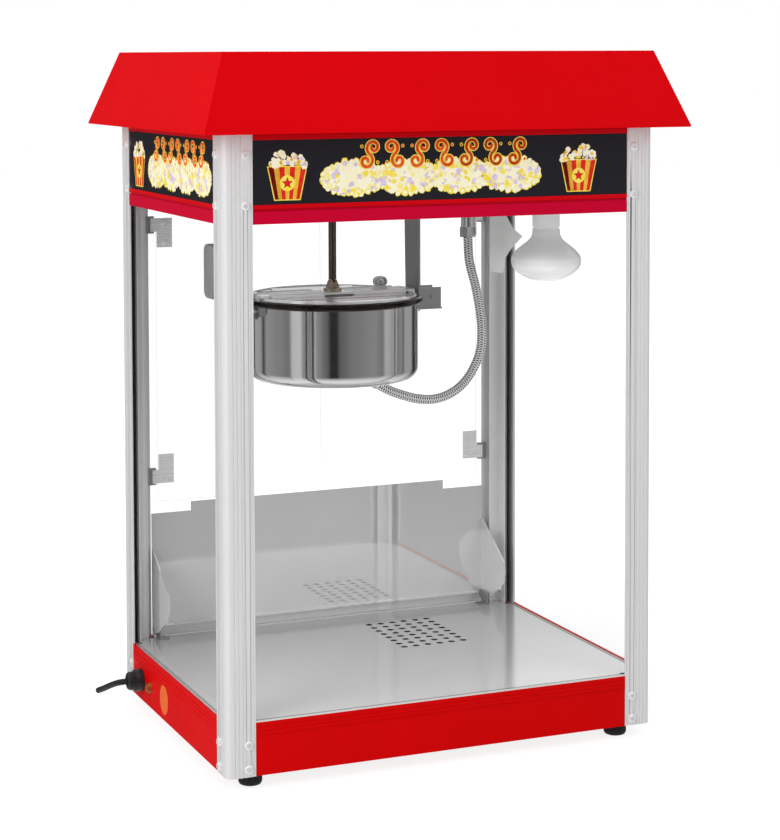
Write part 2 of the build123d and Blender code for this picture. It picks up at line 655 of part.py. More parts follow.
# --------------------------------------------------------------------- lamp
BULB_OUTER = (  # (r, z)
    (0, 500.5), (10, 501.3), (20, 504.0), (29, 508.8), (36, 515.0), (39.4, 520.5), (40, 524.5),
    (38.6, 529.5), (34.5, 535.5), (28, 541.5), (21.5, 546.5), (17.4, 551.5), (15.9, 557),
    (15.7, 560.5), (13.2, 562), (13.2, 592), (4, 594), (0, 594),
)
BULB_INNER = (  # (r, z)
    (0, 501.8), (10, 502.5), (19.6, 505.1), (28.4, 509.8), (35.2, 515.8), (38.2, 520.9),
    (38.7, 524.5), (37.4, 529.0), (33.6, 534.6), (27.3, 540.5), (20.4, 545.8), (16.2, 551.1),
    (14.7, 557), (14.4, 559.6), (12.0, 561.2), (12.0, 596), (0, 596),
)
LAMP_BRACKET_Y = 5.0
LAMP_BRACKET_X0, LAMP_BRACKET_X1 = 143, 161.3
BRACKET_FRONT = (  # (x, z)
    (LAMP_BRACKET_X0, Z_CEIL), (LAMP_BRACKET_X0, 509), (145.5, 507.4), (159, 505.6),
    (LAMP_BRACKET_X1, 507.5), (LAMP_BRACKET_X1, Z_CEIL),
)
BRACKET_REAR = (  # (x, z)
    (161.5, Z_CEIL), (161.5, 518.3), (166.2, 518.3), (170.4, 522.8), (176, 531),
    (192.1, 546.7), (180, 556), (172, 570), (170, Z_CEIL),
)


def lamp_bracket():
    """Z-folded plate, front and rear leaves joined by a web, with a top flange."""
    x0, x1, y = LAMP_BRACKET_X0, LAMP_BRACKET_X1, LAMP_BRACKET_Y
    bracket = plate_xz(BRACKET_FRONT, y, y + SHEET)
    bracket += block(x1, x1 + SHEET, y, y + 14, 512, Z_CEIL)
    bracket += plate_xz(BRACKET_REAR, y + 14 - SHEET, y + 14)
    return bracket + block(x0, 170, y - 16, y, Z_CEIL - 1.5, Z_CEIL)


socket = rod_z(15.7, 562.6, Z_CEIL - 0.05) - rod_z(13.3, 560, 596)
socket = fillet(first_circle(socket, Axis.Z), 0.8)
save("lamp_bulb", Pos(LAMP_X, LAMP_Y, 0) * (turned(BULB_OUTER) - turned(BULB_INNER)))
save("lamp_socket", Pos(LAMP_X, LAMP_Y, 0) * socket)
save("lamp_bracket", lamp_bracket())

# --------------------- cord, gland, earth stud and label on the left rail
# x is measured from the posts' left face, y and z from the fitting's axis.
CORD_R = 3.5
CORD_POINTS = (
    (-15.0, 0, 0), (-21.0, 2.4, -0.8), (-25.4, 12, -4.2), (-26.3, 38, -14.0),
    (-26.4, 64, -24.2), (-26.4, 90, -34.0),
)


def cord_gland():
    gland = rod_x(8.0, -0.9, 10) + rod_x(12.8, -8.5, 0.8)
    gland = gland + rod_x(10.6, -17.5, -8.5) + rod_x(10.6, 4.25, 9)
    gland = fillet(first_circle(gland, Axis.X), 2.0)
    return gland - rod_x(3.6, -20, 12) - rod_x(5.4, -20, -13.5)


def earth_stud():
    stud = rod_x(3.0, -5, 9) + rod_x(6.5, -1.2, 0.75)
    stud += Pos(-4.0, 0, 0) * Rot(0, 90, 0) * extrude(RegularPolygon(5.2, 6), amount=2.8)
    return stud + rod_x(5.5, 4.25, 8)


cord = round_sweep(Spline(*CORD_POINTS), CORD_R) + rod_x(CORD_R, -15.0, 8)
save("cord_gland", Pos(-HALF_W, CORD_Y, CORD_Z) * cord_gland())
save("power_cord", Pos(-HALF_W, CORD_Y, CORD_Z) * cord)
save("earth_stud", Pos(-HALF_W, STUD_Y, STUD_Z) * earth_stud())
label_plane = Plane((-HALF_W + 0.75, 34.0, 37.5), x_dir=(0, 1, 0), z_dir=(-1, 0, 0))
save("side_label", extrude(label_plane * Ellipse(14.5, 16.5), amount=0.35))


# -------------------------------------------------------------- post screws
def post_screw():
    """Pan-head screw along +y with a cross recess in its head at y < 0."""
    screw = rod_y(4.7, -2.4, 0)
    screw = fillet(first_circle(screw, Axis.Y), 1.7)
    screw += rod_y(2.25, -0.1, 9.0)
    for angle in (0, 90):
        screw -= Rot(0, angle, 0) * block(-2.3, 2.3, -3, -1.2, -0.5, 0.5)
    return screw


screw = post_screw()
screws = []
for z in RAIL_SCREW_Z + FASCIA_SCREW_Z:
    for s in (-1, 1):
        x, y = s * (HALF_W - SCREW_IN), s * (HALF_D - SCREW_IN)
        screws += [
            Pos(x, -HALF_D, z) * screw,
            Pos(x, HALF_D, z) * Rot(0, 0, 180) * screw,
            Pos(-HALF_W, y, z) * Rot(0, 0, -90) * screw,
            Pos(HALF_W, y, z) * Rot(0, 0, 90) * screw,
        ]
save("post_screws", *screws)

# ----------------------------------------------------------------- switches
# Drawn about the rocker's pivot.
ROCKER_Y = HALF_D - 1.0
ROCKER_TILT = -10
ROCKER_OUTLINE = (  # (y, z)
    (3.0, -9.9), (1.6, 0), (3.0, 9.9), (-2.5, 9.6), (-5.0, 3), (-5.0, -3), (-2.5, -9.6),
)


def switch_housing():
    housing = block(-11, 11, 0.15, 2.6, -15.6, 15.6)
    housing = fillet(housing.edges().filter_by(Axis.Y), 2)
    housing += block(-9.4, 9.4, -21, 0.2, -13.9, 13.9)
    housing -= block(-6.7, 6.7, -8.5, 3, -10.7, 10.7)
    return housing - rod_x(1.0 + RUN, -8.6, 8.6)


rocker = Rot(ROCKER_TILT, 0, 0) * (plate_yz(ROCKER_OUTLINE, -6.5, 6.5) + rod_x(1.0, -8.4, 8.4))
save("switch_housings", *[Pos(x, ROCKER_Y, SWITCH_Z) * switch_housing() for x in SWITCH_X])
for name, x in zip(("rocker_light", "rocker_heat", "rocker_stir"), SWITCH_X):
    save(name, Pos(x, ROCKER_Y, SWITCH_Z) * rocker)

# --------------------------------------------------------------- rear doors
# The left door is drawn, the right one mirrored.
DOOR_Y0, DOOR_Y1 = 180.0, 184.0
DOOR_Z0, DOOR_Z1 = 232.0, 584.0
AXIS_X, AXIS_Y = -213.5, 182.0  # door pivot axis
DOOR_X0 = AXIS_X + 4.5  # hinged edge
DOOR_SCREW_X = DOOR_X0 + 9
PLATE_Y0, PLATE_Y1 = DOOR_Y0 - 2.0, DOOR_Y0 - 0.02
DOOR_PIN_R = 1.5
# (plate centre z, end that carries the arm: 1 upper, -1 lower)
DOOR_HINGES = ((DOOR_Z1 - 31.5, 1), (DOOR_Z0 + 39.5, -1))
PLATE_HALF = 17.3
DOOR_SCREW_Z = [centre + offset for centre, _ in DOOR_HINGES for offset in (-12, 12)]


def arm_span(centre, end):
    tip = centre + end * PLATE_HALF
    return sorted((tip, tip - end * 16))


def door_panel():
    panel = block(DOOR_X0, -0.75, DOOR_Y0, DOOR_Y1, DOOR_Z0, DOOR_Z1)
    for z in DOOR_SCREW_Z:
        panel -= rod_y(2.1, DOOR_Y0 - 1, DOOR_Y1 + 1, DOOR_SCREW_X, z)
    return panel


def door_plate(centre, end):
    """Plate inside the glass, with an arm to the pivot."""
    z0, z1 = arm_span(centre, end)
    plate = block(
        DOOR_X0 + 0.5, DOOR_X0 + 19, PLATE_Y0, PLATE_Y1, centre - PLATE_HALF, centre + PLATE_HALF
    )
    arm = block(AXIS_X, DOOR_X0 + 1, PLATE_Y0, PLATE_Y1, z0, z1)
    arm += rod_z(3.0, z0, z1, AXIS_X, AXIS_Y)
    arm += block(AXIS_X - 3.0, AXIS_X + 1.0, PLATE_Y0, AXIS_Y, z0, z1)
    plate = plate + arm - rod_z(DOOR_PIN_R + RUN, z0 - 1, z1 + 1, AXIS_X, AXIS_Y)
    for z in (centre - 12, centre + 12):
        plate -= rod_y(2.1, DOOR_Y0 - 3, DOOR_Y0 + 1, DOOR_SCREW_X, z)
    return plate


def door_screw():
    """Screw through plate and glass, a head at each end."""
    head = rod_y(3.4, -1.6, 0)
    head = fillet(first_circle(head, Axis.Y), 0.9)
    return head + rod_y(2.0, 0, 6.0) + rod_y(3.4, 6.02, 8.2) + rod_y(2.0, 5.9, 6.1)


def door_bracket(centre, end):
    """Pivot bracket on the post: two ears and a pin."""
    z0, z1 = arm_span(centre, end)
    post_edge = -HALF_W + FLANGE + 0.05
    back = AXIS_X - 3.2
    post_face = HALF_D - POST_T
    y0, y1 = AXIS_Y - 2, AXIS_Y + 2
    bracket = rod_z(DOOR_PIN_R, z0 - 2.3, z1 + 2.3, AXIS_X, AXIS_Y)
    for ear0, ear1 in ((z0 - 2.2, z0 - 0.2), (z1 + 0.2, z1 + 2.2)):
        bracket += block(post_edge, AXIS_X + 2, y0, y1, ear0, ear1)
    bracket += block(post_edge, back, y0, y1, z0 - 2.2, z1 + 2.2)
    bracket += block(-HALF_W + 27, back, post_face - 1.6, post_face - 0.05, z0 - 2.2, z1 + 2.2)
    return bracket


def door_handle():
    handle = block(-22, -14, DOOR_Y1, DOOR_Y1 + 14, 408, 416)
    handle += block(-22, -14, DOOR_Y1, DOOR_Y1 + 14, 444, 452)
    handle += block(-22, -14, DOOR_Y1 + 9, DOOR_Y1 + 14, 408, 452)
    return fillet(handle.edges().filter_by(Axis.Z), 1.2)


panel, handle = door_panel(), door_handle()
plates = [Pos(DOOR_SCREW_X, PLATE_Y0, z) * door_screw() for z in DOOR_SCREW_Z]
plates += [door_plate(*hinge) for hinge in DOOR_HINGES]
save("left_door_panel", panel)
save("left_door_plates", *plates)
save("left_door_handle", handle)
save("right_door_panel", mirror_x(panel))
save("right_door_plates", *[mirror_x(plate) for plate in plates])
save("right_door_handle", mirror_x(handle))

# ---------------------------------------------------------------- rear flap
FLAP_X = HALF_W - FLANGE - 0.5
FLAP_Y0 = 180.5
FLAP_Y1 = FLAP_Y0 + SHEET
FLAP_AXIS_Y, FLAP_AXIS_Z = 177.0, 80.0
FLAP_PIN_R = 2.5
FLAP_OUTLINE = (  # (x, z), stepped top edge
    (-FLAP_X, 72.7), (FLAP_X, 72.7), (FLAP_X, 218), (163, 218), (163, 229), (-168, 229),
    (-168, 218), (-FLAP_X, 218),
)
WING_OUTLINE = (  # (y from the flap's rear face, z)
    (0, 75.0), (-3, 73.6), (-26, 81), (-55, 99), (-64, 108), (-68, 120), (-67, 133), (-4, 176),
    (0, 176),
)
FLAP_BRACKET_OUTLINE = (  # (y, z)
    (158, Z_FLOOR), (172, Z_FLOOR), (172, 73.2), (FLAP_AXIS_Y + 2.6, FLAP_AXIS_Z - 2.2),
    (FLAP_AXIS_Y + 2.6, 86), (158, 86),
)


def rear_flap():
    """Back sheet with a stiffening fold and a folded wing at each end."""
    sheet = plate_xz(FLAP_OUTLINE, FLAP_Y0, FLAP_Y1)
    sheet += block(-208, 208, FLAP_Y0 - 7, FLAP_Y0, 83.0, 84.2)
    wing = plate_yz([(FLAP_Y1 + y, z) for y, z in WING_OUTLINE], FLAP_X - SHEET, FLAP_X)
    wing += block(FLAP_X - 9, FLAP_X, FLAP_Y1 - 58, FLAP_Y1 - 50, 97.8, 99)
    wing -= rod_x(FLAP_PIN_R + RUN, FLAP_X - 3, FLAP_X + 1, FLAP_AXIS_Y, FLAP_AXIS_Z)
    return sheet + wing + mirror_x(wing)


def flap_bracket():
    bracket = plate_yz(FLAP_BRACKET_OUTLINE, FLAP_X - 4.2, FLAP_X - 2.2)
    bracket += block(FLAP_X - 14, FLAP_X - 2.2, 158, 172, Z_FLOOR, Z_FLOOR + 1.5)
    return bracket + rod_x(FLAP_PIN_R, FLAP_X - 3, FLAP_X + 0.6, FLAP_AXIS_Y, FLAP_AXIS_Z)


brackets = [door_bracket(*hinge) for hinge in DOOR_HINGES] + [flap_bracket()]
save("rear_flap", rear_flap())
save("rear_pivot_brackets", *brackets, *[mirror_x(bracket) for bracket in brackets])
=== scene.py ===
import bpy, math, random
import numpy as np
from mathutils import Vector, Matrix


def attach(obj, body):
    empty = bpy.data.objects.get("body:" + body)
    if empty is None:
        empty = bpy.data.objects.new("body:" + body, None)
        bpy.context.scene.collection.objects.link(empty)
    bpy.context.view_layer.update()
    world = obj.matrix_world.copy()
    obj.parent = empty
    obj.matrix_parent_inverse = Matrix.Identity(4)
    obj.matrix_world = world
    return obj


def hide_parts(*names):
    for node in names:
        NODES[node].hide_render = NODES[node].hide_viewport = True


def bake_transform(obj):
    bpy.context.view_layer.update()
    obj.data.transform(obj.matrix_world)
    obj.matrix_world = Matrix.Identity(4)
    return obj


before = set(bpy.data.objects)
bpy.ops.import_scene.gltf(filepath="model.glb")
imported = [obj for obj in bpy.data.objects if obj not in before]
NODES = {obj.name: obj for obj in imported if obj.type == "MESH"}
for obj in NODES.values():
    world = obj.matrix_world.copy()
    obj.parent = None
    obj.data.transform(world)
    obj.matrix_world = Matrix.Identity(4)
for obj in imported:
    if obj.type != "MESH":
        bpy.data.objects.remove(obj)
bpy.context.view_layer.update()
scene = bpy.context.scene
MM = 0.001
random.seed(7)

# ------------------------------------------------------------------ materials
class Mat:
    def __init__(self, name):
        self.m = bpy.data.materials.new(name)
        self.m.use_nodes = True
        self.nt = self.m.node_tree
        self.b = self.nt.nodes["Principled BSDF"]
        self.out = self.nt.nodes["Material Output"]
        self.co = self.nt.nodes.new("ShaderNodeTexCoord")

    def node(self, kind, **kw):
        n = self.nt.nodes.new(kind)
        for k, v in kw.items():
            if k in n.inputs.keys():
                n.inputs[k].default_value = v
            else:
                setattr(n, k, v)
        return n

    def link(self, a, b):
        self.nt.links.new(a, b)

    def set(self, **kw):
        for k, v in kw.items():
            self.b.inputs[k.replace("_", " ")].default_value = v
        return self

    def mapped(self, scale=(1, 1, 1)):
        n = self.node("ShaderNodeMapping")
        n.inputs["Scale"].default_value = scale
        self.link(self.co.outputs["Object"], n.inputs["Vector"])
        return n.outputs["Vector"]

    def noise(self, scale, detail=4.0, rough=0.55, stretch=(1, 1, 1)):
        n = self.node("ShaderNodeTexNoise", Scale=scale, Detail=detail, Roughness=rough)
        self.link(self.mapped(stretch), n.inputs["Vector"])
        return n.outputs["Fac"]

    def ramp(self, fac, stops):
        r = self.node("ShaderNodeValToRGB")
        el = r.color_ramp.elements
        el[0].position, el[0].color = stops[0]
        el[1].position, el[1].color = stops[-1]
        for p, c in stops[1:-1]:
            e = el.new(p)
            e.color = c
        self.link(fac, r.inputs["Fac"])
        return r.outputs["Color"]

    def math(self, op, a, b=None, c=None):
        n = self.node("ShaderNodeMath", operation=op)
        for i, v in enumerate((a, b, c)):
            if v is None:
                continue
            if isinstance(v, (int, float)):
                n.inputs[i].default_value = v
            else:
                self.link(v, n.inputs[i])
        return n.outputs[0]

    def map(self, v, a, b, c, d):
        n = self.node("ShaderNodeMapRange")
        for k, x in zip(("From Min", "From Max", "To Min", "To Max"), (a, b, c, d)):
            n.inputs[k].default_value = x
        self.link(v, n.inputs["Value"])
        return n.outputs["Result"]

    def bump(self, height, dist, strength=1.0, prev=None):
        n = self.node("ShaderNodeBump", Distance=dist, Strength=strength)
        self.link(height, n.inputs["Height"])
        if prev is not None:
            self.link(prev, n.inputs["Normal"])
        self.link(n.outputs["Normal"], self.b.inputs["Normal"])
        return n.outputs["Normal"]

    def mix(self, fac, a, b):
        n = self.node("ShaderNodeMix", data_type="RGBA")
        if isinstance(fac, (int, float)):
            n.inputs["Factor"].default_value = fac
        else:
            self.link(fac, n.inputs["Factor"])
        for sock, v in ((n.inputs[6], a), (n.inputs[7], b)):
            if isinstance(v, tuple):
                sock.default_value = v
            else:
                self.link(v, sock)
        return n.outputs[2]


def rgb(r, g, b):
    f = lambda c: (c / 255 / 12.92) if c / 255 <= 0.04045 else ((c / 255 + 0.055) / 1.055) ** 2.4
    return (f(r), f(g), f(b), 1.0)


def paint(name, col, dark, rough=0.3, coat=0.25):
    m = Mat(name)
    n = m.noise(6.0, 5, 0.6)
    c = m.mix(m.map(n, 0.35, 0.65, 0, 1), col, dark)
    m.link(c, m.b.inputs["Base Color"])
    m.link(m.map(m.noise(40, 4), 0.3, 0.7, rough - 0.05, rough + 0.06), m.b.inputs["Roughness"])
    m.set(Coat_Weight=coat, Coat_Roughness=0.25, Specular_IOR_Level=0.04)
    m.bump(m.noise(1400, 2), 0.00003, 0.25)
    return m.m


def brushed(name, col, col2, rough, axis, metallic=1.0, scale=90, strength=0.12, dist=0.00004):
    """Metal with fine lines running along axis (0, 1 or 2)."""
    m = Mat(name)
    st = [1.0, 1.0, 1.0]
    st[axis] = 0.015
    st = tuple(s * 12 for s in st)
    n = m.noise(scale, 6, 0.7, st)
    w = m.noise(5.0, 3, 0.5)
    m.link(m.mix(n, col, col2), m.b.inputs["Base Color"])
    m.link(m.math("ADD", m.map(n, 0.3, 0.7, rough - 0.05, rough + 0.08), m.map(w, 0.3, 0.7, -0.03, 0.04)), m.b.inputs["Roughness"])
    m.set(Metallic=metallic)
    m.bump(n, dist, strength)
    return m.m


def polished(name, col, rough=0.06, wob=0.0004, wscale=14.0):
    m = Mat(name)
    big = m.noise(wscale, 2, 0.4)
    fine = m.noise(700, 5, 0.6)
    smear = m.noise(22, 5, 0.65)
    m.link(m.mix(smear, col, tuple(c * 0.93 for c in col[:3]) + (1,)), m.b.inputs["Base Color"])
    m.link(m.math("ADD", m.map(smear, 0.35, 0.7, rough * 0.7, rough * 1.6), m.map(fine, 0.4, 0.7, 0, rough * 0.25)), m.b.inputs["Roughness"])
    m.set(Metallic=1.0)
    n1 = m.bump(big, wob, 0.5)
    m.bump(fine, 0.000008, 0.2, n1)
    return m.m


def glass(name, tint, reflect=0.06, dust=0.015, faces="Y", edge=0.3):
    """A clear sheet: lets light straight through, with a faint reflection and a little dust."""
    m = Mat(name)
    nt = m.nt
    nt.nodes.remove(m.b)
    tr = m.node("ShaderNodeBsdfTransparent", Color=tint)
    gl = m.node("ShaderNodeBsdfGlossy", Roughness=0.01)
    df = m.node("ShaderNodeBsdfDiffuse", Color=(0.9, 0.92, 0.92, 1))
    lw = m.node("ShaderNodeLayerWeight", Blend=0.12)
    f = m.math("MULTIPLY", lw.outputs["Fresnel"], reflect * 6)
    f = m.math("MINIMUM", f, 0.35)
    a = m.node("ShaderNodeMixShader")
    m.link(f, a.inputs[0]); m.link(tr.outputs[0], a.inputs[1]); m.link(gl.outputs[0], a.inputs[2])
    d = m.map(m.noise(60, 6, 0.7), 0.45, 0.8, 0.0, dust)
    b = m.node("ShaderNodeMixShader")
    m.link(d, b.inputs[0]); m.link(a.outputs[0], b.inputs[1]); m.link(df.outputs[0], b.inputs[2])
    # the cut edges of the sheet show as faint grey-green lines; its faces lie across X or Y
    ge = m.node("ShaderNodeNewGeometry")
    ns = m.node("ShaderNodeSeparateXYZ")
    m.link(ge.outputs["True Normal"], ns.inputs[0])
    ax = ns.outputs["X" if faces == "X" else "Y"]
    if faces == "XY":
        ax = m.math("MAXIMUM", m.math("ABSOLUTE", ns.outputs["X"]), m.math("ABSOLUTE", ns.outputs["Y"]))
    rim = m.math("MULTIPLY", m.math("LESS_THAN", m.math("ABSOLUTE", ax), 0.6), edge)
    ed = m.node("ShaderNodeBsdfDiffuse", Color=(0.30, 0.36, 0.34, 1))
    e = m.node("ShaderNodeMixShader")
    m.link(rim, e.inputs[0]); m.link(b.outputs[0], e.inputs[1]); m.link(ed.outputs[0], e.inputs[2])
    m.link(e.outputs[0], m.out.inputs["Surface"])
    return m.m


def plastic(name, col, col2, rough=0.45, grain=900, dist=0.00004, spec=0.4):
    m = Mat(name)
    m.link(m.mix(m.noise(30, 4), col, col2), m.b.inputs["Base Color"])
    m.link(m.map(m.noise(120, 4), 0.3, 0.7, rough - 0.06, rough + 0.08), m.b.inputs["Roughness"])
    m.set(Specular_IOR_Level=spec)
    m.bump(m.noise(grain, 3), dist, 0.4)
    return m.m


def rail_paint_painted_top_highlight(name):
    """Red rail paint; the narrow top edge beside the floor is coloured pale as a painted highlight."""
    m = paint(name, (0.68, 0.0, 0.0006, 1), (0.63, 0.0, 0.0004, 1), 0.36, 0.03)
    nt = m.node_tree
    b = nt.nodes["Principled BSDF"]
    old = b.inputs["Base Color"].links[0].from_socket
    co = nt.nodes.new("ShaderNodeTexCoord")
    sp = nt.nodes.new("ShaderNodeSeparateXYZ")
    mr = nt.nodes.new("ShaderNodeMapRange")
    mr.inputs["From Min"].default_value, mr.inputs["From Max"].default_value = 0.0706, 0.0709
    mx = nt.nodes.new("ShaderNodeMix")
    mx.data_type = "RGBA"
    # painted highlight: above z 70.6 mm the rail is coloured pale
    mx.inputs[7].default_value = (0.72, 0.71, 0.68, 1)
    nt.links.new(co.outputs["Object"], sp.inputs[0])
    nt.links.new(sp.outputs["Z"], mr.inputs["Value"])
    nt.links.new(mr.outputs["Result"], mx.inputs["Factor"])
    nt.links.new(old, mx.inputs[6])
    nt.links.new(mx.outputs[2], b.inputs["Base Color"])
    return m


def painted_gradient_sheet(name, axis, at0, at1, c0, c1, metallic, rough, edge=False):
    """Polished sheet whose tone is painted to run evenly from c0 to c1 along an axis (m), a painted light gradient
    standing in for reflection and shade, with faint smears and grain.
    """
    m = Mat(name)
    g = m.node("ShaderNodeSeparateXYZ")
    m.link(m.co.outputs["Object"], g.inputs[0])
    f = m.math("MINIMUM", m.math("MAXIMUM", m.map(g.outputs[axis], at0, at1, 0, 1), 0.0), 1.0)
    # painted light: the tone runs from c0 to c1 along the axis as painted reflection and shade
    tone = m.mix(f, c0, c1)
    smear = m.map(m.noise(7, 5), 0.35, 0.7, 0.0, 0.10)
    tone = m.mix(smear, tone, (0.5, 0.5, 0.5, 1))
    if edge:
        # cut edges of the sheet and the walls of its holes are in shade
        ge = m.node("ShaderNodeNewGeometry")
        ns = m.node("ShaderNodeSeparateXYZ")
        m.link(ge.outputs["True Normal"], ns.inputs[0])
        flat = m.math("GREATER_THAN", m.math("ABSOLUTE", ns.outputs["Z"]), 0.35)
        tone = m.mix(flat, (0.012, 0.012, 0.012, 1), tone)
    m.link(tone, m.b.inputs["Base Color"])
    m.link(m.math("ADD", m.map(m.noise(11, 4), 0.3, 0.7, rough * 0.8, rough * 1.25), m.map(m.noise(240, 3, 0.6, (1, 0.05, 1)), 0.4, 0.7, 0, rough * 0.2)), m.b.inputs["Roughness"])
    m.set(Metallic=metallic, Specular_IOR_Level=0.5)
    m.bump(m.noise(4, 3), 0.0002, 0.4)
    return m.m


def fascia_paint():
    """Red folded rails whose lower lip is a bluer red than the rails above it."""
    m = Mat("red_paint_fascia")
    g = m.node("ShaderNodeSeparateXYZ")
    m.link(m.co.outputs["Object"], g.inputs[0])
    n = m.noise(9.0, 4)
    low = m.mix(n, (0.60, 0.0, 0.030, 1), (0.55, 0.0, 0.026, 1))
    high = m.mix(n, (0.66, 0.0, 0.006, 1), (0.60, 0.0, 0.005, 1))
    m.link(m.mix(m.map(g.outputs["Z"], 0.6015, 0.6035, 0, 1), low, high), m.b.inputs["Base Color"])
    m.link(m.map(m.noise(40, 4), 0.3, 0.7, 0.3, 0.4), m.b.inputs["Roughness"])
    m.set(Coat_Weight=0.02, Coat_Roughness=0.2, Specular_IOR_Level=0.05)
    m.bump(m.noise(1400, 2), 0.00003, 0.25)
    return m.m


M = {}
M["red"] = paint("red_paint_roof", (0.69, 0.0, 0.0030, 1), (0.665, 0.0, 0.0025, 1), 0.5, 0.0)
# painted light: the side rails take a lighter red than the front and rear rails, standing in for the light falling on
# the sides
M["red_side_rails_painted_lit"] = paint("red_side_rail_paint_painted_lighter", (0.74, 0.0, 0.0006, 1), (0.68, 0.0, 0.0004, 1), 0.36, 0.05)
M["red_rail"] = rail_paint_painted_top_highlight("red_lipped_rails_painted_top_highlight")
M["red_fascia"] = fascia_paint()
M["alu"] = brushed("aluminium_extrusion", (0.80, 0.80, 0.81, 1), (0.90, 0.90, 0.905, 1), 0.34, 2, 0.28, 90)
# painted reflection and shade: the floor sheet runs from near white at the front to grey at the back
M["floor"] = painted_gradient_sheet("stainless_floor_painted_gradient", 1, -0.15, 0.16, (0.98, 0.98, 0.98, 1), (0.60, 0.60, 0.605, 1), 0.36, 0.11, True)
# painted reflection: the flap is coloured near white at its foot and greyer towards its top
M["mirror"] = painted_gradient_sheet("polished_stainless_flap_painted_gradient", 2, 0.085, 0.225, (0.98, 0.98, 0.98, 1), (0.84, 0.84, 0.845, 1), 0.52, 0.012)
M["kettle"] = polished("polished_stainless_kettle", (0.74, 0.735, 0.73, 1), 0.07, 0.0003, 9)
M["lid"] = polished("polished_stainless_lid", (0.97, 0.965, 0.96, 1), 0.045, 0.00002, 16)
M["lid"].node_tree.nodes["Principled BSDF"].inputs["Metallic"].default_value = 0.55
M["chrome"] = polished("chrome_hardware", (0.93, 0.93, 0.94, 1), 0.06, 0.0001, 40)
M["steel"] = brushed("brushed_steel_sheet", (0.46, 0.46, 0.465, 1), (0.54, 0.54, 0.545, 1), 0.30, 2, 0.9, 80)
M["zinc"] = brushed("zinc_plated_steel", (0.50, 0.51, 0.52, 1), (0.62, 0.62, 0.63, 1), 0.42, 0, 1.0, 30)
M["drawer"] = brushed("drawer_steel", (0.34, 0.34, 0.345, 1), (0.40, 0.40, 0.405, 1), 0.38, 1, 0.7, 60)
# painted shade: the base pan under the floor is coloured near black, standing in for the shade inside the base
M["pan"] = brushed("tray_steel_painted_shade_dark", (0.10, 0.10, 0.10, 1), (0.14, 0.14, 0.14, 1), 0.5, 0, 0.5, 30)
M["shaft"] = brushed("dark_turned_steel", (0.13, 0.085, 0.075, 1), (0.22, 0.16, 0.14, 1), 0.16, 2, 1.0, 50)
M["bronze"] = brushed("bronze_coupling", (0.50, 0.42, 0.33, 1), (0.66, 0.56, 0.45, 1), 0.30, 2, 1.0, 60)
M["brass"] = brushed("brass_stud", (0.55, 0.36, 0.12, 1), (0.68, 0.47, 0.20, 1), 0.32, 0, 1.0, 80)
M["rim"] = polished("dark_rim", (0.030, 0.024, 0.022, 1), 0.14, 0.0001, 30)
M["rubber"] = plastic("black_rubber", (0.010, 0.010, 0.011, 1), (0.020, 0.020, 0.021, 1), 0.6, 1500, 0.00006, 0.3)
M["gasket"] = plastic("grey_gasket", (0.17, 0.17, 0.17, 1), (0.22, 0.22, 0.22, 1), 0.5)
M["black"] = plastic("black_plastic", (0.010, 0.010, 0.012, 1), (0.018, 0.018, 0.020, 1), 0.38)
M["grey"] = plastic("grey_plastic", rgb(126, 126, 128), rgb(150, 150, 152), 0.42)
M["white"] = plastic("white_plastic_painted_glow", rgb(240, 240, 239), rgb(248, 248, 246), 0.4)
# painted glow: the white socket plastic emits faintly, standing in for light falling on it
M["white"].node_tree.nodes["Principled BSDF"].inputs["Emission Color"].default_value = (1, 1, 1, 1)
M["white"].node_tree.nodes["Principled BSDF"].inputs["Emission Strength"].default_value = 0.12
M["label"] = plastic("orange_label", rgb(244, 96, 28), rgb(250, 120, 40), 0.35)
M["lampsteel"] = brushed("lamp_bracket_steel", (0.86, 0.86, 0.85, 1), (0.94, 0.94, 0.93, 1), 0.38, 2, 0.3, 60)
M["bright"] = brushed("bright_plated_steel", (0.88, 0.88, 0.885, 1), (0.96, 0.96, 0.96, 1), 0.26, 0, 0.35, 60)
M["glass"] = glass("clear_glass", (0.996, 0.998, 0.997, 1), 0.02, 0.005, "XY", 0.4)
M["acrylic"] = glass("clear_acrylic", (0.993, 0.995, 0.996, 1), 0.03, 0.008, "Y", 0.16)


def bulb_painted_shade_glow_mat():
    m = Mat("frosted_bulb_painted_shade_glow")
    # painted shade: the bulb is coloured darker towards its outline as seen, and greyer over its upper part
    lw = m.node("ShaderNodeLayerWeight", Blend=0.35)
    edge = m.mix(lw.outputs["Facing"], rgb(252, 252, 251), rgb(190, 191, 192))
    g = m.node("ShaderNodeSeparateXYZ")
    m.link(m.co.outputs["Object"], g.inputs[0])
    upper_shade_f = m.map(g.outputs["Z"], 0.520, 0.552, 0, 1)
    c = m.mix(m.math("MINIMUM", m.math("MAXIMUM", upper_shade_f, 0.0), 1.0), edge, rgb(222, 223, 224))
    c = m.mix(m.map(m.noise(45, 4), 0.35, 0.7, 0, 0.14), c, rgb(214, 215, 216))
    m.link(c, m.b.inputs["Base Color"])
    m.set(Roughness=0.24, Coat_Weight=0.5, Coat_Roughness=0.08, Subsurface_Weight=0.1)
    m.b.inputs["Subsurface Radius"].default_value = (0.01, 0.01, 0.01)
    # painted glow: the bulb emits faintly, more over its lower part, standing in for light falling on it
    m.b.inputs["Emission Color"].default_value = (1, 1, 1, 1)
    low = m.math("SUBTRACT", 1.0, m.math("MINIMUM", m.math("MAXIMUM", m.map(g.outputs["Z"], 0.500, 0.530, 0, 1), 0.0), 1.0))
    m.link(m.math("ADD", 0.13, m.math("MULTIPLY", low, 0.22)), m.b.inputs["Emission Strength"])
    m.bump(m.noise(900, 2), 0.00002, 0.2)
    return m.m


M["bulb"] = bulb_painted_shade_glow_mat()


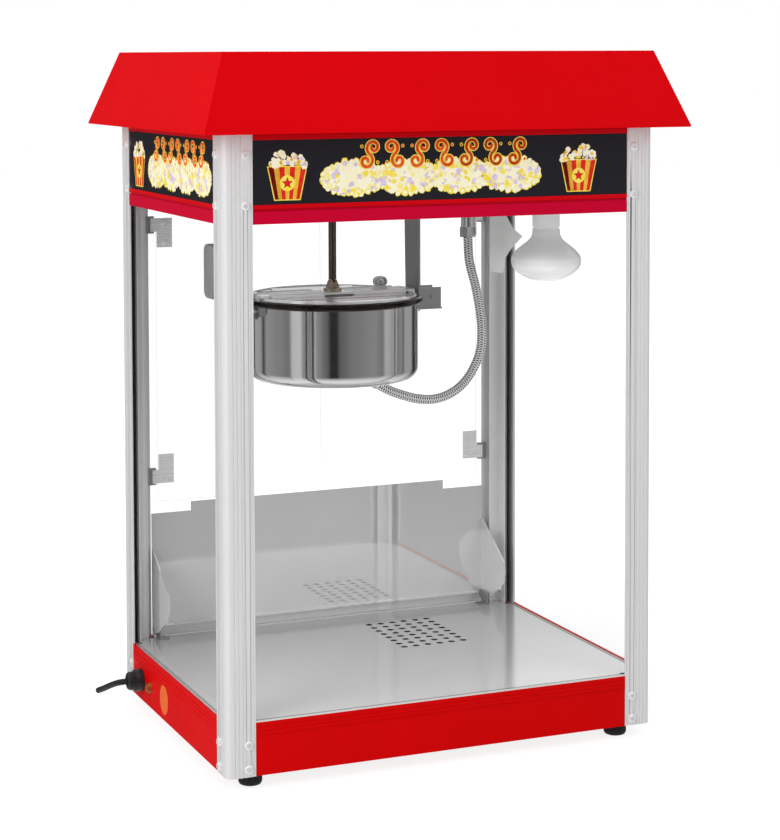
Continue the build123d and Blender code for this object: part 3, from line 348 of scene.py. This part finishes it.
def sign_mat():
    m = Mat("sign_panel_black")
    n = m.noise(35, 5)
    m.link(m.mix(n, rgb(20, 19, 26), rgb(27, 26, 35)), m.b.inputs["Base Color"])
    m.link(m.map(m.noise(90, 4), 0.3, 0.7, 0.25, 0.36), m.b.inputs["Roughness"])
    m.set(Coat_Weight=0.2, Coat_Roughness=0.2, Specular_IOR_Level=0.3)
    m.bump(m.noise(300, 2), 0.00002, 0.2)
    return m.m


M["sign"] = sign_mat()


def ink(name, a, b, scale=120):
    m = Mat(name)
    m.link(m.mix(m.map(m.noise(scale, 4), 0.4, 0.6, 0, 1), a, b), m.b.inputs["Base Color"])
    m.link(m.map(m.noise(300, 2), 0.3, 0.7, 0.38, 0.5), m.b.inputs["Roughness"])
    m.set(Specular_IOR_Level=0.25)
    m.bump(m.noise(1500, 2), 0.00001, 0.2)
    return m.m


M["ink_cream"] = ink("ink_cream", rgb(255, 249, 205), rgb(255, 253, 228))
M["ink_yellow"] = ink("ink_yellow", rgb(250, 226, 60), rgb(252, 236, 110))
M["ink_amber"] = ink("ink_amber", rgb(236, 176, 40), rgb(246, 200, 70))
M["ink_lilac"] = ink("ink_lilac", rgb(214, 196, 226), rgb(228, 214, 236))
M["ink_pale"] = ink("ink_pale", rgb(250, 240, 140), rgb(253, 246, 180))
M["ink_scroll"] = ink("ink_scroll", rgb(246, 60, 20), rgb(252, 104, 40))
M["ink_red"] = ink("ink_red", rgb(214, 22, 16), rgb(226, 40, 20))
M["ink_orange"] = ink("ink_orange", rgb(240, 110, 24), rgb(248, 150, 50))


def hose_mat():
    """Braided metal hose: bright strands over dark gaps."""
    m = Mat("braided_hose")
    att = m.node("ShaderNodeAttribute", attribute_name="hose_uv")
    sep = m.node("ShaderNodeSeparateXYZ")
    m.link(att.outputs["Vector"], sep.inputs[0])
    p = m.math("MULTIPLY", sep.outputs["X"], 2 * math.pi / 0.0116)
    s1 = m.math("SINE", m.math("MULTIPLY", m.math("ADD", sep.outputs["Y"], p), 4.0))
    s2 = m.math("SINE", m.math("MULTIPLY", m.math("SUBTRACT", sep.outputs["Y"], p), 4.0))
    h = m.math("MAXIMUM", s1, s2)
    c = m.mix(m.math("MINIMUM", m.math("MAXIMUM", m.map(h, 0.18, 0.60, 0, 1), 0.0), 1.0), (0.008, 0.008, 0.008, 1), (0.96, 0.95, 0.95, 1))
    m.link(c, m.b.inputs["Base Color"])
    m.link(m.map(m.noise(300, 3), 0.3, 0.7, 0.20, 0.32), m.b.inputs["Roughness"])
    m.set(Metallic=0.0)
    return m.m


M["hose"] = hose_mat()

ASSIGN = {
    "red": ["roof_shell"],
    "red_rail": ["base_front_rail", "base_rear_rail"],
    "red_side_rails_painted_lit": ["base_left_rail", "base_right_rail"],
    "red_fascia": ["fascia_front", "fascia_sides", "fascia_rear"],
    "alu": ["post_front_left", "post_front_right", "post_rear_left", "post_rear_right"],
    "floor": ["popcorn_floor"],
    "mirror": ["rear_flap"],
    "kettle": ["kettle_shell", "kettle_pan"],
    "lid": ["front_lid", "rear_lid", "lid_bridge"],
    "chrome": ["lid_knob", "left_door_handle", "right_door_handle", "kettle_pivot_pins", "conduit_gland", "conduit_connector"],
    "steel": ["kettle_hangers"],
    "pan": ["base_pan"],
    "drawer": ["crumb_drawer"],
    "zinc": ["ceiling_plate", "stirrer_gearmotor", "rear_pivot_brackets", "kettle_heater", "tilt_lever"],
    "shaft": ["drive_shaft"],
    "bronze": ["stirrer"],
    "brass": ["earth_stud"],
    "rim": ["kettle_rim"],
    "rubber": ["rubber_feet", "power_cord"],
    "gasket": ["glass_gaskets"],
    "black": ["cord_gland", "switch_housings", "rocker_light", "rocker_heat", "rocker_stir"],
    "grey": ["tilt_lever_grip"],
    "white": ["lamp_socket"],
    "label": ["side_label"],
    "lampsteel": ["lamp_bracket"],
    "bright": ["left_door_plates", "right_door_plates", "post_screws"],
    "glass": ["glass_front", "glass_sides"],
    "acrylic": ["left_door_panel", "right_door_panel"],
    "sign": ["sign_panels"],
    "bulb": ["lamp_bulb"],
    "hose": ["heater_conduit"],
}
BEVEL = {
    "roof_shell": 0.0016, "post_front_left": 0.0003, "post_front_right": 0.0003, "post_rear_left": 0.0003, "post_rear_right": 0.0003,
    "base_front_rail": 0.00025, "base_left_rail": 0.00025, "base_right_rail": 0.00025, "base_rear_rail": 0.00025,
    "fascia_front": 0.0003, "fascia_sides": 0.0003, "fascia_rear": 0.0003, "rear_flap": 0.0003, "popcorn_floor": 0.0003,
    "kettle_hangers": 0.0004, "lamp_bracket": 0.0004, "crumb_drawer": 0.0004, "tilt_lever": 0.0004, 
    "left_door_plates": 0.0003, "right_door_plates": 0.0003, "left_door_handle": 0.0005, "right_door_handle": 0.0005,
    "stirrer_gearmotor": 0.001, "glass_front": 0.0005, "glass_sides": 0.0005,
    "left_door_panel": 0.0005, "right_door_panel": 0.0005, "sign_panels": 0.0002, "switch_housings": 0.0004,
    "rocker_light": 0.0005, "rocker_heat": 0.0005, "rocker_stir": 0.0005, "conduit_gland": 0.0004, "earth_stud": 0.0003,
    "cord_gland": 0.0005, "base_pan": 0.0003, "ceiling_plate": 0.0003,
}
for key, names in ASSIGN.items():
    for n in names:
        o = NODES[n]
        o.data.materials.clear()
        o.data.materials.append(M[key])
for n, o in NODES.items():
    me = o.data
    if "custom_normal" in me.attributes:
        me.attributes.remove(me.attributes["custom_normal"])
    me.shade_smooth()
    w = o.modifiers.new("weld", "WELD")
    w.merge_threshold = 0.000002
    if n in BEVEL:
        b = o.modifiers.new("bevel", "BEVEL")
        b.width = BEVEL[n]
        b.segments = 2
        b.limit_method = "ANGLE"
        b.angle_limit = math.radians(32)
        b.harden_normals = True
        b.use_clamp_overlap = True
    else:
        es = o.modifiers.new("sharp", "EDGE_SPLIT")
        es.split_angle = math.radians(32)


# -------------------------------------------------------------- mesh builders
def make(name, verts, faces, mat, smooth=True, sharp=35):
    me = bpy.data.meshes.new(name)
    me.from_pydata([tuple(v) for v in verts], [], faces)
    me.update()
    o = bpy.data.objects.new(name, me)
    scene.collection.objects.link(o)
    me.materials.append(mat)
    if smooth:
        me.shade_smooth()
        me.set_sharp_from_angle(angle=math.radians(sharp))
    return o


def turned(name, prof, cx, cy, mat, segs=160, closed=True, sharp=35):
    """Revolves an (r, z) outline in mm about a vertical axis."""
    pr = np.array(prof, float)
    k = len(pr)
    t = np.linspace(0, 2 * math.pi, segs, endpoint=False)
    v = np.zeros((k, segs, 3))
    v[:, :, 0] = cx + pr[:, 0:1] * np.cos(t)
    v[:, :, 1] = cy + pr[:, 0:1] * np.sin(t)
    v[:, :, 2] = pr[:, 1:2]
    faces = []
    for i in range(k if closed else k - 1):
        j = (i + 1) % k
        for s in range(segs):
            q = (s + 1) % segs
            faces.append((i * segs + s, i * segs + q, j * segs + q, j * segs + s))
    return make(name, v.reshape(-1, 3) * MM, faces, mat, True, sharp)


def smooth_prof(pts, n=8):
    """Chaikin-like rounding of an outline, keeping its ends."""
    p = np.array(pts, float)
    for _ in range(n):
        q = [p[0]]
        for a, b in zip(p[:-1], p[1:]):
            q += [a * 0.75 + b * 0.25, a * 0.25 + b * 0.75]
        q.append(p[-1])
        p = np.array(q)
        if len(p) > 90:
            break
    return p


def frames(path):
    """Tangents and a carried-along frame for a path of points."""
    p = np.array(path, float)
    t = np.gradient(p, axis=0)
    t /= np.linalg.norm(t, axis=1)[:, None]
    u = np.cross(t[0], [0, 1, 0.01])
    u /= np.linalg.norm(u)
    us = []
    for ti in t:
        u = u - ti * (u @ ti)
        u /= np.linalg.norm(u)
        us.append(u.copy())
    us = np.array(us)
    return t, us, np.cross(t, us)


def catmull(pts, step):
    """Points about `step` apart along a smooth curve through pts."""
    p = np.array(pts, float)
    p = np.vstack([2 * p[0] - p[1], p, 2 * p[-1] - p[-2]])
    out = []
    for i in range(1, len(p) - 2):
        a, b, c, d = p[i - 1], p[i], p[i + 1], p[i + 2]
        n = max(2, int(round(np.linalg.norm(c - b) / step)))
        for k in range(n):
            t = k / n
            out.append(0.5 * (2 * b + (c - a) * t + (2 * a - 5 * b + 4 * c - d) * t * t + (3 * b - a - 3 * c + d) * t ** 3))
    out.append(p[-2])
    return np.array(out)


def tube(name, path, radius, mat, around=20, sharp=60, caps=True, uv=None):
    """Skin along a path in mm; radius(s, a) gives the radius at length s and angle a."""
    t, u, w = frames(path)
    s = np.concatenate([[0], np.cumsum(np.linalg.norm(np.diff(path, axis=0), axis=1))])
    k = around + 1 if uv else around
    verts, data = [], []
    for i in range(len(path)):
        for j in range(k):
            a = 2 * math.pi * j / around
            r = radius(s[i], a)
            verts.append(path[i] + r * (math.cos(a) * u[i] + math.sin(a) * w[i]))
            data += [s[i] * MM, a, 0.0]
    faces = []
    for i in range(len(path) - 1):
        for j in range(around):
            q = j + 1 if uv else (j + 1) % around
            faces.append((i * k + j, i * k + q, (i + 1) * k + q, (i + 1) * k + j))
    if caps:
        faces.append(tuple(range(around))[::-1])
        faces.append(tuple((len(path) - 1) * k + j for j in range(around)))
    o = make(name, np.array(verts) * MM, faces, mat, True, sharp)
    if uv:
        at = o.data.attributes.new(uv, "FLOAT_VECTOR", "POINT")
        at.data.foreach_set("vector", data)
    return o


KX = -57.0

# ---------------------------------------------------------------------- hose
ang = math.radians(114)
end = np.array([-5 + math.sin(ang) * 16.6, 28.0, 387.5 + math.cos(ang) * 16.6])
hp = [(124.0, 547.5), (126.0, 519.3), (134.2, 488.8), (140.3, 458.4), (142.4, 435.8), (140.8, 413.4),
      (132.8, 393.7), (121.5, 377.7), (105.5, 365.6), (84.6, 359.0), (62.0, 360.0), (40.0, 366.2), (22.0, 373.6)]
pts = [(x, 25 + 3 * i / 13, z) for i, (x, z) in enumerate(hp)] + [tuple(end)]
path = catmull(pts, 0.30)


def braid(s, a):
    """Height 0..1 of the crossing strands of the hose's metal braid."""
    p = 2 * math.pi * s / 11.6
    return 0.5 + 0.5 * max(math.sin(4 * (a + p)), math.sin(4 * (a - p)))


hose = tube("hose_skin", path, lambda s, a: 5.0 + 0.62 * braid(s, a), M["hose"], 32, 80, True, "hose_uv")
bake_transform(hose)
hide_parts("heater_conduit")

# --------------------------------------------------------------- kettle parts
def arc(cx, cz, r, a0, a1, n):
    return [(cx + r * math.cos(math.radians(a)), cz + r * math.sin(math.radians(a))) for a in np.linspace(a0, a1, n)]


rim = turned("rim_bead", [(93, 485.3), (97.12, 485.3), (97.12, 482.7)] + arc(98.85, 485.85, 3.53, -96, 90, 18) + [(94.6, 489.38), (93.4, 489.0), (93, 488.2)], KX, 0, M["rim"], 200)
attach(rim, "kettle")
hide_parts("kettle_rim")
knob = turned("knob_turned", [(0.02, 491.27), (4.5, 491.27), (4.5, 492.4), (2.8, 493.1), (2.8, 494.0), (5.6, 494.5), (7.7, 495.9)] + arc(2.1, 499.4, 6.5, -22, 80, 16) + [(2.0, 505.9), (1.2, 505.2), (0.02, 505.0)], KX + 72, 32, M["chrome"], 64, False, 50)
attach(knob, "rear_lid_body")
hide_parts("lid_knob")

# ------------------------------------------------------------------ lamp bulb
out = smooth_prof([(0.02, 500.5), (10, 501.0), (20, 503.2), (29, 507.6), (37, 514.0), (40.4, 520.5), (40.8, 525.0), (38.8, 531.0), (33.5, 537.0), (27, 542.3), (20.5, 547.0), (16.6, 552.0), (15.7, 557), (15.65, 561)], 4)
body = [(min(p[0], 39.98), p[1]) for p in out]
bulb = turned("bulb_glass", body + [(13.2, 562.2), (13.2, 592), (0.02, 593.9)], 188, -50, M["bulb"], 96, False, 40)
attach(bulb, "cabinet")
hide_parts("lamp_bulb")

# ------------------------------------------------------------- cord and gland
cy, cz = 120.0, 38.0
cp = [(-232, cy, cz), (-250, cy, cz), (-265, cy, cz), (-271.0, cy + 2.4, cz - 0.8), (-275.4, cy + 12, cz - 4.2), (-276.3, cy + 38, cz - 14.0), (-276.4, cy + 64, cz - 24.2), (-276.4, cy + 90, cz - 34.0)]
cord = tube("cord_sheath", catmull(cp, 1.2), lambda s, a: 3.47, M["rubber"], 24, 80, True)
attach(cord, "cabinet")
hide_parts("power_cord")


def turned_x(name, prof, x_y_z, mat, segs=96, ribs=None, sharp=35):
    """Revolves an (r, x) outline in mm about an axis along X; ribs(a, i) scales a ring."""
    _, y0, z0 = x_y_z
    k = len(prof)
    verts = []
    for i, (r, x) in enumerate(prof):
        for s in range(segs):
            a = 2 * math.pi * s / segs
            rr = r * (ribs(a, i) if ribs else 1.0)
            verts.append((x, y0 + rr * math.cos(a), z0 + rr * math.sin(a)))
    faces = []
    for i in range(k):
        j = (i + 1) % k
        for s in range(segs):
            q = (s + 1) % segs
            faces.append((i * segs + s, j * segs + s, j * segs + q, i * segs + q))
    return make(name, np.array(verts) * MM, faces, mat, True, sharp)


gl = [(3.62, -240.5), (7.95, -240.5), (7.95, -249.2), (12.7, -249.25), (12.75, -257.6), (12.2, -258.45), (10.5, -258.6), (10.5, -259.2), (10.5, -263.8), (10.2, -265.2), (9.0, -266.7), (6.6, -267.4), (5.0, -267.48), (5.45, -267.3), (5.42, -263.6), (3.62, -263.5)]
gland = turned_x("gland_ribbed", gl, (0, cy, cz), M["black"], 144, lambda a, i: 1.0 - (0.05 if i in (7, 8) and (int(a / (2 * math.pi) * 32) % 2) else 0.0))
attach(gland, "cabinet")
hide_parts("cord_gland")


# ------------------------------------------------------------------ sign print
class Print:
    """Collects flat shapes in sign coordinates (u to the right, v up, mm); later ones lie on top."""

    def __init__(self):
        self.parts = {}
        self.n = 0

    def poly(self, pts, ink, layer=None):
        self.n += 1
        d = 0.00016 * self.n
        self.parts.setdefault(ink, []).append((list(pts), d))

    def disc(self, u, v, r, ink, k=14, wob=0.0, ph=0.0):
        self.poly([(u + r * (1 + wob * math.sin(3 * a + ph)) * math.cos(a), v + r * (1 + wob * math.cos(4 * a + ph)) * math.sin(a)) for a in np.linspace(0, 2 * math.pi, k, endpoint=False)], ink)

    def stroke(self, pts, w0, ink, taper=True):
        p = np.array(pts, float)
        t = np.gradient(p, axis=0)
        t /= np.linalg.norm(t, axis=1)[:, None] + 1e-9
        n = np.stack([-t[:, 1], t[:, 0]], 1)
        m = len(p)
        w = np.array([w0 * (0.35 + 0.65 * math.sin(math.pi * min(1, max(0, i / (m - 1)))) ** 0.8) if taper else w0 for i in range(m)])[:, None] / 2
        a, b = p + n * w, p - n * w
        self.n += 1
        d = 0.00016 * self.n
        for i in range(m - 1):
            self.parts.setdefault(ink, []).append(([tuple(a[i]), tuple(a[i + 1]), tuple(b[i + 1]), tuple(b[i])][::-1], d))

    def build(self, prefix, place):
        obs = []
        for ink, polys in self.parts.items():
            verts, faces = [], []
            for pts, d in polys:
                base = len(verts)
                verts += [place(u, v, d) for u, v in pts]
                faces.append(tuple(range(base, base + len(pts))))
            o = make(prefix + ink.replace("ink_", "_"), np.array(verts) * MM, faces, M[ink], False)
            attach(o, "cabinet")
            obs.append(o)
        return obs


def pile(p, u0, u1, v0, v1, bunches, rnd, s=1.0):
    """A heap of popped corn made of bunches, between v0 and v1."""
    w = (u1 - u0) / bunches
    mid, hh = (v0 + v1) / 2, (v1 - v0) / 2
    edge, inner = [], []
    for b in range(bunches):
        cu = u0 + w * (b + 0.5)
        ru = w * 0.60
        for i in range(30):
            a = 2 * math.pi * i / 30 + rnd.uniform(-0.06, 0.06)
            edge.append((cu + ru * 0.93 * math.cos(a), mid + hh * (0.88 + rnd.uniform(-0.07, 0.07)) * math.sin(a)))
        p.poly([(cu + ru * 0.98 * math.cos(a), mid + hh * 0.90 * math.sin(a)) for a in np.linspace(0, 2 * math.pi, 40, endpoint=False)], "ink_cream")
        for i in range(int(64 * s)):
            a = rnd.uniform(0, 2 * math.pi)
            q = math.sqrt(rnd.uniform(0, 1))
            inner.append((cu + ru * 0.92 * q * math.cos(a), mid + hh * 0.82 * q * math.sin(a)))
    for u, v in edge:
        p.disc(u, v, rnd.uniform(3.0, 4.1), "ink_yellow", 14, 0.10, rnd.uniform(0, 6))
    for u, v in edge:
        p.disc(u, v, rnd.uniform(2.0, 3.2), "ink_cream", 14, 0.10, rnd.uniform(0, 6))
    for n, (u, v) in enumerate(inner):
        p.disc(u, v, rnd.uniform(2.4, 4.0), ("ink_yellow", "ink_cream", "ink_pale", "ink_lilac", "ink_cream")[n % 5], 13, 0.20, rnd.uniform(0, 6))
    for n, (u, v) in enumerate(inner):
        if n % 2:
            a = rnd.uniform(0, 6.28)
            p.disc(u + 3.0 * math.cos(a), v + 2.0 * math.sin(a), rnd.uniform(1.2, 2.3), ("ink_lilac", "ink_cream", "ink_yellow")[n % 3], 11, 0.18, rnd.uniform(0, 6))


def flourish(p, u, v, h, flip=1):
    """An S-shaped scroll with curled ends, h high about (u, v)."""
    k = h / 30.0
    cx, cy = -4.6, 7.6
    r1, end = math.hypot(cx, cy), math.atan2(-cy, -cx)
    t = np.linspace(0, 1, 40)
    rad = 1.9 + (r1 - 1.9) * t ** 1.15
    ang = end + 2 * math.pi * 1.28 * (1 - t)
    top = [(cx + q * math.cos(a), cy + q * math.sin(a)) for q, a in zip(rad, ang)]
    line = top + [(-x, -y) for x, y in top[::-1][1:]]
    line = [(u + flip * k * x, v + k * y) for x, y in line]
    for w, ink in ((5.6, "ink_yellow"), (3.4, "ink_scroll")):
        p.stroke(line, w * k, ink, False)
    for x, y in ((9.6, 9.0), (-9.6, -9.0)):
        p.disc(u + flip * k * x, v + k * y, 2.1 * k, "ink_yellow", 14)
        p.disc(u + flip * k * x, v + k * y, 1.35 * k, "ink_scroll", 14)


def tub(p, u, v0, h, rnd, s=1.0):
    """A striped paper tub with corn over its top, its base at v0."""
    wb, wt = 13.5 * s, 21.0 * s
    hb = h * 0.62
    p.poly([(u - wb - 1, v0 - 1), (u + wb + 1, v0 - 1), (u + wt + 1.2, v0 + hb + 1), (u - wt - 1.2, v0 + hb + 1)], "ink_yellow")
    n = 7
    for i in range(n):
        a0, a1 = -1 + 2 * i / n, -1 + 2 * (i + 1) / n
        p.poly([(u + wb * a0, v0), (u + wb * a1, v0), (u + wt * a1, v0 + hb), (u + wt * a0, v0 + hb)], "ink_red" if i % 2 == 0 else "ink_amber")
    for i in range(34):
        a = rnd.uniform(-1, 1)
        y = v0 + hb + rnd.uniform(-1.5, 1) + (h - hb - 4) * math.sqrt(max(0, 1 - a * a)) * rnd.uniform(0.1, 1)
        p.disc(u + a * (wt - 0.5), y, rnd.uniform(2.3, 3.4) * (0.7 + 0.3 * s), "ink_cream", 12, 0.12, rnd.uniform(0, 6))
    for i in range(26):
        a = rnd.uniform(-1, 1)
        y = v0 + hb + rnd.uniform(-1, 1) + (h - hb - 5) * math.sqrt(max(0, 1 - a * a)) * rnd.uniform(0.1, 1)
        p.disc(u + a * (wt - 1.5), y, rnd.uniform(1.0, 1.9), rnd.choice(["ink_yellow", "ink_lilac", "ink_amber", "ink_yellow"]), 10, 0.15, rnd.uniform(0, 6))
    # a star on the front of the tub
    cu, cv = u, v0 + hb * 0.5
    star = []
    for i in range(10):
        r = (6.6 if i % 2 == 0 else 2.9) * s
        a = math.pi / 2 + i * math.pi / 5
        star.append((cu + r * math.cos(a), cv + r * math.sin(a)))
    p.disc(cu, cv, 8.2 * s, "ink_yellow", 28)
    for i in range(10):
        j = (i + 1) % 10
        p.poly([(cu, cv), star[i], star[j]], "ink_red")


rnd = random.Random(5)
front = Print()
pile(front, -137, 106, 614.0, 653, 4, rnd)
for i in range(7):
    flourish(front, -88 + 28.6 * i, 657.6, 28.0, 1 if i % 2 else -1)
tub(front, -180, 613, 54, rnd)
tub(front, 158, 613, 54, rnd)
front.build("sign_front", lambda u, v, d: (u, -184.12 - d, v))
side = Print()
pile(side, -72, 140, 614.0, 652, 4, rnd, 0.9)
for i in range(7):
    flourish(side, -44 + 26.4 * i, 657.2, 26.0, 1 if i % 2 else -1)
tub(side, -112, 613, 54, rnd, 1.0)
side.build("sign_left", lambda u, v, d: (-249.12 - d, -u, v))
side.build("sign_right", lambda u, v, d: (249.12 + d, u, v))

# ------------------------------------------------------------------- the floor
fm = Mat("studio_floor")
fm.set(Roughness=0.8, Specular_IOR_Level=0.05)
fm.b.inputs["Emission Color"].default_value = (1, 1, 1, 1)
dist = fm.node("ShaderNodeVectorMath", operation="LENGTH")
fm.link(fm.co.outputs["Object"], dist.inputs[0])
flp = fm.node("ShaderNodeLightPath")
fm.link(fm.math("MULTIPLY", flp.outputs["Is Camera Ray"], fm.map(dist.outputs["Value"], 0.35, 0.9, 0.84, 1.0)), fm.b.inputs["Emission Strength"])
fcol = fm.mix(flp.outputs["Is Camera Ray"], (0.80, 0.80, 0.80, 1), (0.24, 0.24, 0.24, 1))
fm.link(fm.mix(fm.map(fm.noise(2.0, 3), 0.3, 0.7, 0.0, 0.08), fcol, (0.7, 0.7, 0.7, 1)), fm.b.inputs["Base Color"])
ring = [(0.0, 0.0, -0.0002)]
segs, radii = 72, [0.4, 0.8, 1.5, 3, 6, 12]
fv, ff = [(0.0, 0.0, -0.0002)], []
for r in radii:
    fv += [(r * math.cos(2 * math.pi * s / segs), r * math.sin(2 * math.pi * s / segs), -0.0002) for s in range(segs)]
for s in range(segs):
    ff.append((0, 1 + s, 1 + (s + 1) % segs))
    for k in range(len(radii) - 1):
        a, b = 1 + k * segs, 1 + (k + 1) * segs
        ff.append((a + s, b + s, b + (s + 1) % segs, a + (s + 1) % segs))
floor = make("studio_floor", fv, ff, fm.m, False)
floor.visible_glossy = False

# ------------------------------------------------------------------- the light
world = bpy.data.worlds.new("studio")
scene.world = world
world.use_nodes = True
wn = world.node_tree
for n in list(wn.nodes):
    wn.nodes.remove(n)
wo = wn.nodes.new("ShaderNodeOutputWorld")
lp = wn.nodes.new("ShaderNodeLightPath")
tc = wn.nodes.new("ShaderNodeTexCoord")
sx = wn.nodes.new("ShaderNodeSeparateXYZ")
wn.links.new(tc.outputs["Generated"], sx.inputs[0])


def wmath(op, a, b=None):
    n = wn.nodes.new("ShaderNodeMath")
    n.operation = op
    for i, v in enumerate((a, b)):
        if v is None:
            continue
        if isinstance(v, (int, float)):
            n.inputs[i].default_value = v
        else:
            wn.links.new(v, n.inputs[i])
    return n.outputs[0]


azi = wmath("DIVIDE", wmath("ARCTAN2", sx.outputs["Y"], sx.outputs["X"]), 2 * math.pi)
azi = wmath("FRACT", wmath("ADD", azi, 1.0))
ramp = wn.nodes.new("ShaderNodeValToRGB")
ramp.color_ramp.interpolation = "EASE"
CAM_AZ = -22.298


def band(rel):
    """Ramp place of a direction rel degrees to the right of the camera, seen from the object."""
    a = (-90 + CAM_AZ + rel) % 360
    return a / 360


BANDS = [(-180, 0.85), (-166, 0.85), (-158, 0.04), (-136, 0.04), (-126, 0.42), (-112, 0.38), (-106, 0.07), (-99, 0.34), (-76, 0.28), (-60, 0.22), (-54, 0.62), (-44, 0.66), (-38, 0.30),
         (-31, 0.26), (-25, 0.58), (-19, 0.30), (-8, 0.16), (-1, 0.025), (6, 0.03), (11, 0.15), (30, 0.24), (58, 0.30), (71, 0.23), (76, 0.52), (88, 0.46), (95, 0.14), (103, 0.30), (112, 0.18), (130, 0.40), (138, 0.04), (158, 0.05), (166, 0.85)]
BANDS = sorted((band(a), v) for a, v in BANDS)
el = ramp.color_ramp.elements
el[0].position, el[0].color = BANDS[0][0], (BANDS[0][1],) * 3 + (1,)
el[1].position, el[1].color = BANDS[-1][0], (BANDS[-1][1],) * 3 + (1,)
for q, v in BANDS[1:-1]:
    e = el.new(q)
    e.color = (v, v, v, 1)
wn.links.new(azi, ramp.inputs["Fac"])
up = wn.nodes.new("ShaderNodeMapRange")
up.inputs["From Min"].default_value = 0.25
up.inputs["From Max"].default_value = 0.75
wn.links.new(wmath("ABSOLUTE", sx.outputs["Z"]), up.inputs["Value"])
mixz = wn.nodes.new("ShaderNodeMix")
mixz.data_type = "RGBA"
wn.links.new(up.outputs["Result"], mixz.inputs["Factor"])
wn.links.new(ramp.outputs["Color"], mixz.inputs[6])
mixz.inputs[7].default_value = (0.95, 0.95, 0.96, 1)
bgs = []
for strength in (1.0, 1.0, 0.60):
    b = wn.nodes.new("ShaderNodeBackground")
    b.inputs["Color"].default_value = (1, 1, 1, 1)
    b.inputs["Strength"].default_value = strength
    bgs.append(b)
cam_bg, gloss_bg, diff_bg = bgs
wn.links.new(mixz.outputs[2], gloss_bg.inputs["Color"])
m1 = wn.nodes.new("ShaderNodeMixShader")
wn.links.new(lp.outputs["Is Glossy Ray"], m1.inputs[0])
wn.links.new(diff_bg.outputs[0], m1.inputs[1])
wn.links.new(gloss_bg.outputs[0], m1.inputs[2])
m2 = wn.nodes.new("ShaderNodeMixShader")
wn.links.new(lp.outputs["Is Camera Ray"], m2.inputs[0])
wn.links.new(m1.outputs[0], m2.inputs[1])
wn.links.new(cam_bg.outputs[0], m2.inputs[2])
wn.links.new(m2.outputs[0], wo.inputs["Surface"])


def area(name, loc, target, w, h, power):
    d = bpy.data.lights.new(name, "AREA")
    d.shape = "RECTANGLE"
    d.size, d.size_y, d.energy = w, h, power
    o = bpy.data.objects.new(name, d)
    scene.collection.objects.link(o)
    o.location = loc
    o.rotation_mode = "QUATERNION"
    o.rotation_quaternion = (Vector(target) - Vector(loc)).to_track_quat("-Z", "Y")
    o.visible_camera = False
    o.visible_glossy = False
    return o


area("key_left", (-2.6, -1.3, 1.5), (0, 0, 0.4), 1.6, 1.8, 44)
area("fill_right", (1.9, -2.6, 1.4), (0, 0, 0.4), 1.6, 1.6, 14)
area("top_soft", (0.0, 0.2, 2.6), (0, 0, 0.4), 2.2, 2.2, 15)

# ------------------------------------------------------------------ the camera
CAM = dict(az=-22.298, el=3.302, roll=-0.194, f=2176.3, ppx=353.0, ppy=180.0, loc=(-0.9651, -2.2766, 0.7617))
a, e = math.radians(CAM["az"]), math.radians(CAM["el"])
back = Vector((math.sin(a) * math.cos(e), -math.cos(a) * math.cos(e), math.sin(e)))
xr = Vector((0, 0, 1)).cross(back).normalized()
yr = back.cross(xr)
c, s = math.cos(math.radians(CAM["roll"])), math.sin(math.radians(CAM["roll"]))
x2, y2 = xr * c + yr * s, yr * c - xr * s
cd = bpy.data.cameras.new("photo_camera")
cam = bpy.data.objects.new("photo_camera", cd)
scene.collection.objects.link(cam)
cam.rotation_mode = "QUATERNION"
cam.location = CAM["loc"]
cam.rotation_quaternion = Matrix((x2, y2, back)).transposed().to_quaternion()
cd.sensor_fit = "AUTO"
cd.sensor_width = 36.0
cd.lens = CAM["f"] * 36.0 / 840.0
SHIFT = ((390.0 - CAM["ppx"]) / 840.0, (CAM["ppy"] - 420.0) / 840.0)
cd.clip_start, cd.clip_end = 0.05, 60.0
for prop, val in zip(("shift_x", "shift_y"), SHIFT):
    # the off-centre frame belongs to the photo's camera place only
    drv = cd.driver_add(prop).driver
    drv.type = "SCRIPTED"
    v = drv.variables.new()
    v.name = "cx"
    v.type = "TRANSFORMS"
    v.targets[0].id = cam
    v.targets[0].transform_type = "LOC_X"
    v.targets[0].transform_space = "WORLD_SPACE"
    drv.expression = "%.6f if abs(cx + 0.9651) < 0.0002 else 0.0" % val
scene.camera = cam
scene.view_settings.view_transform = "Standard"
scene.view_settings.look = "None"

bpy.context.view_layer.update()
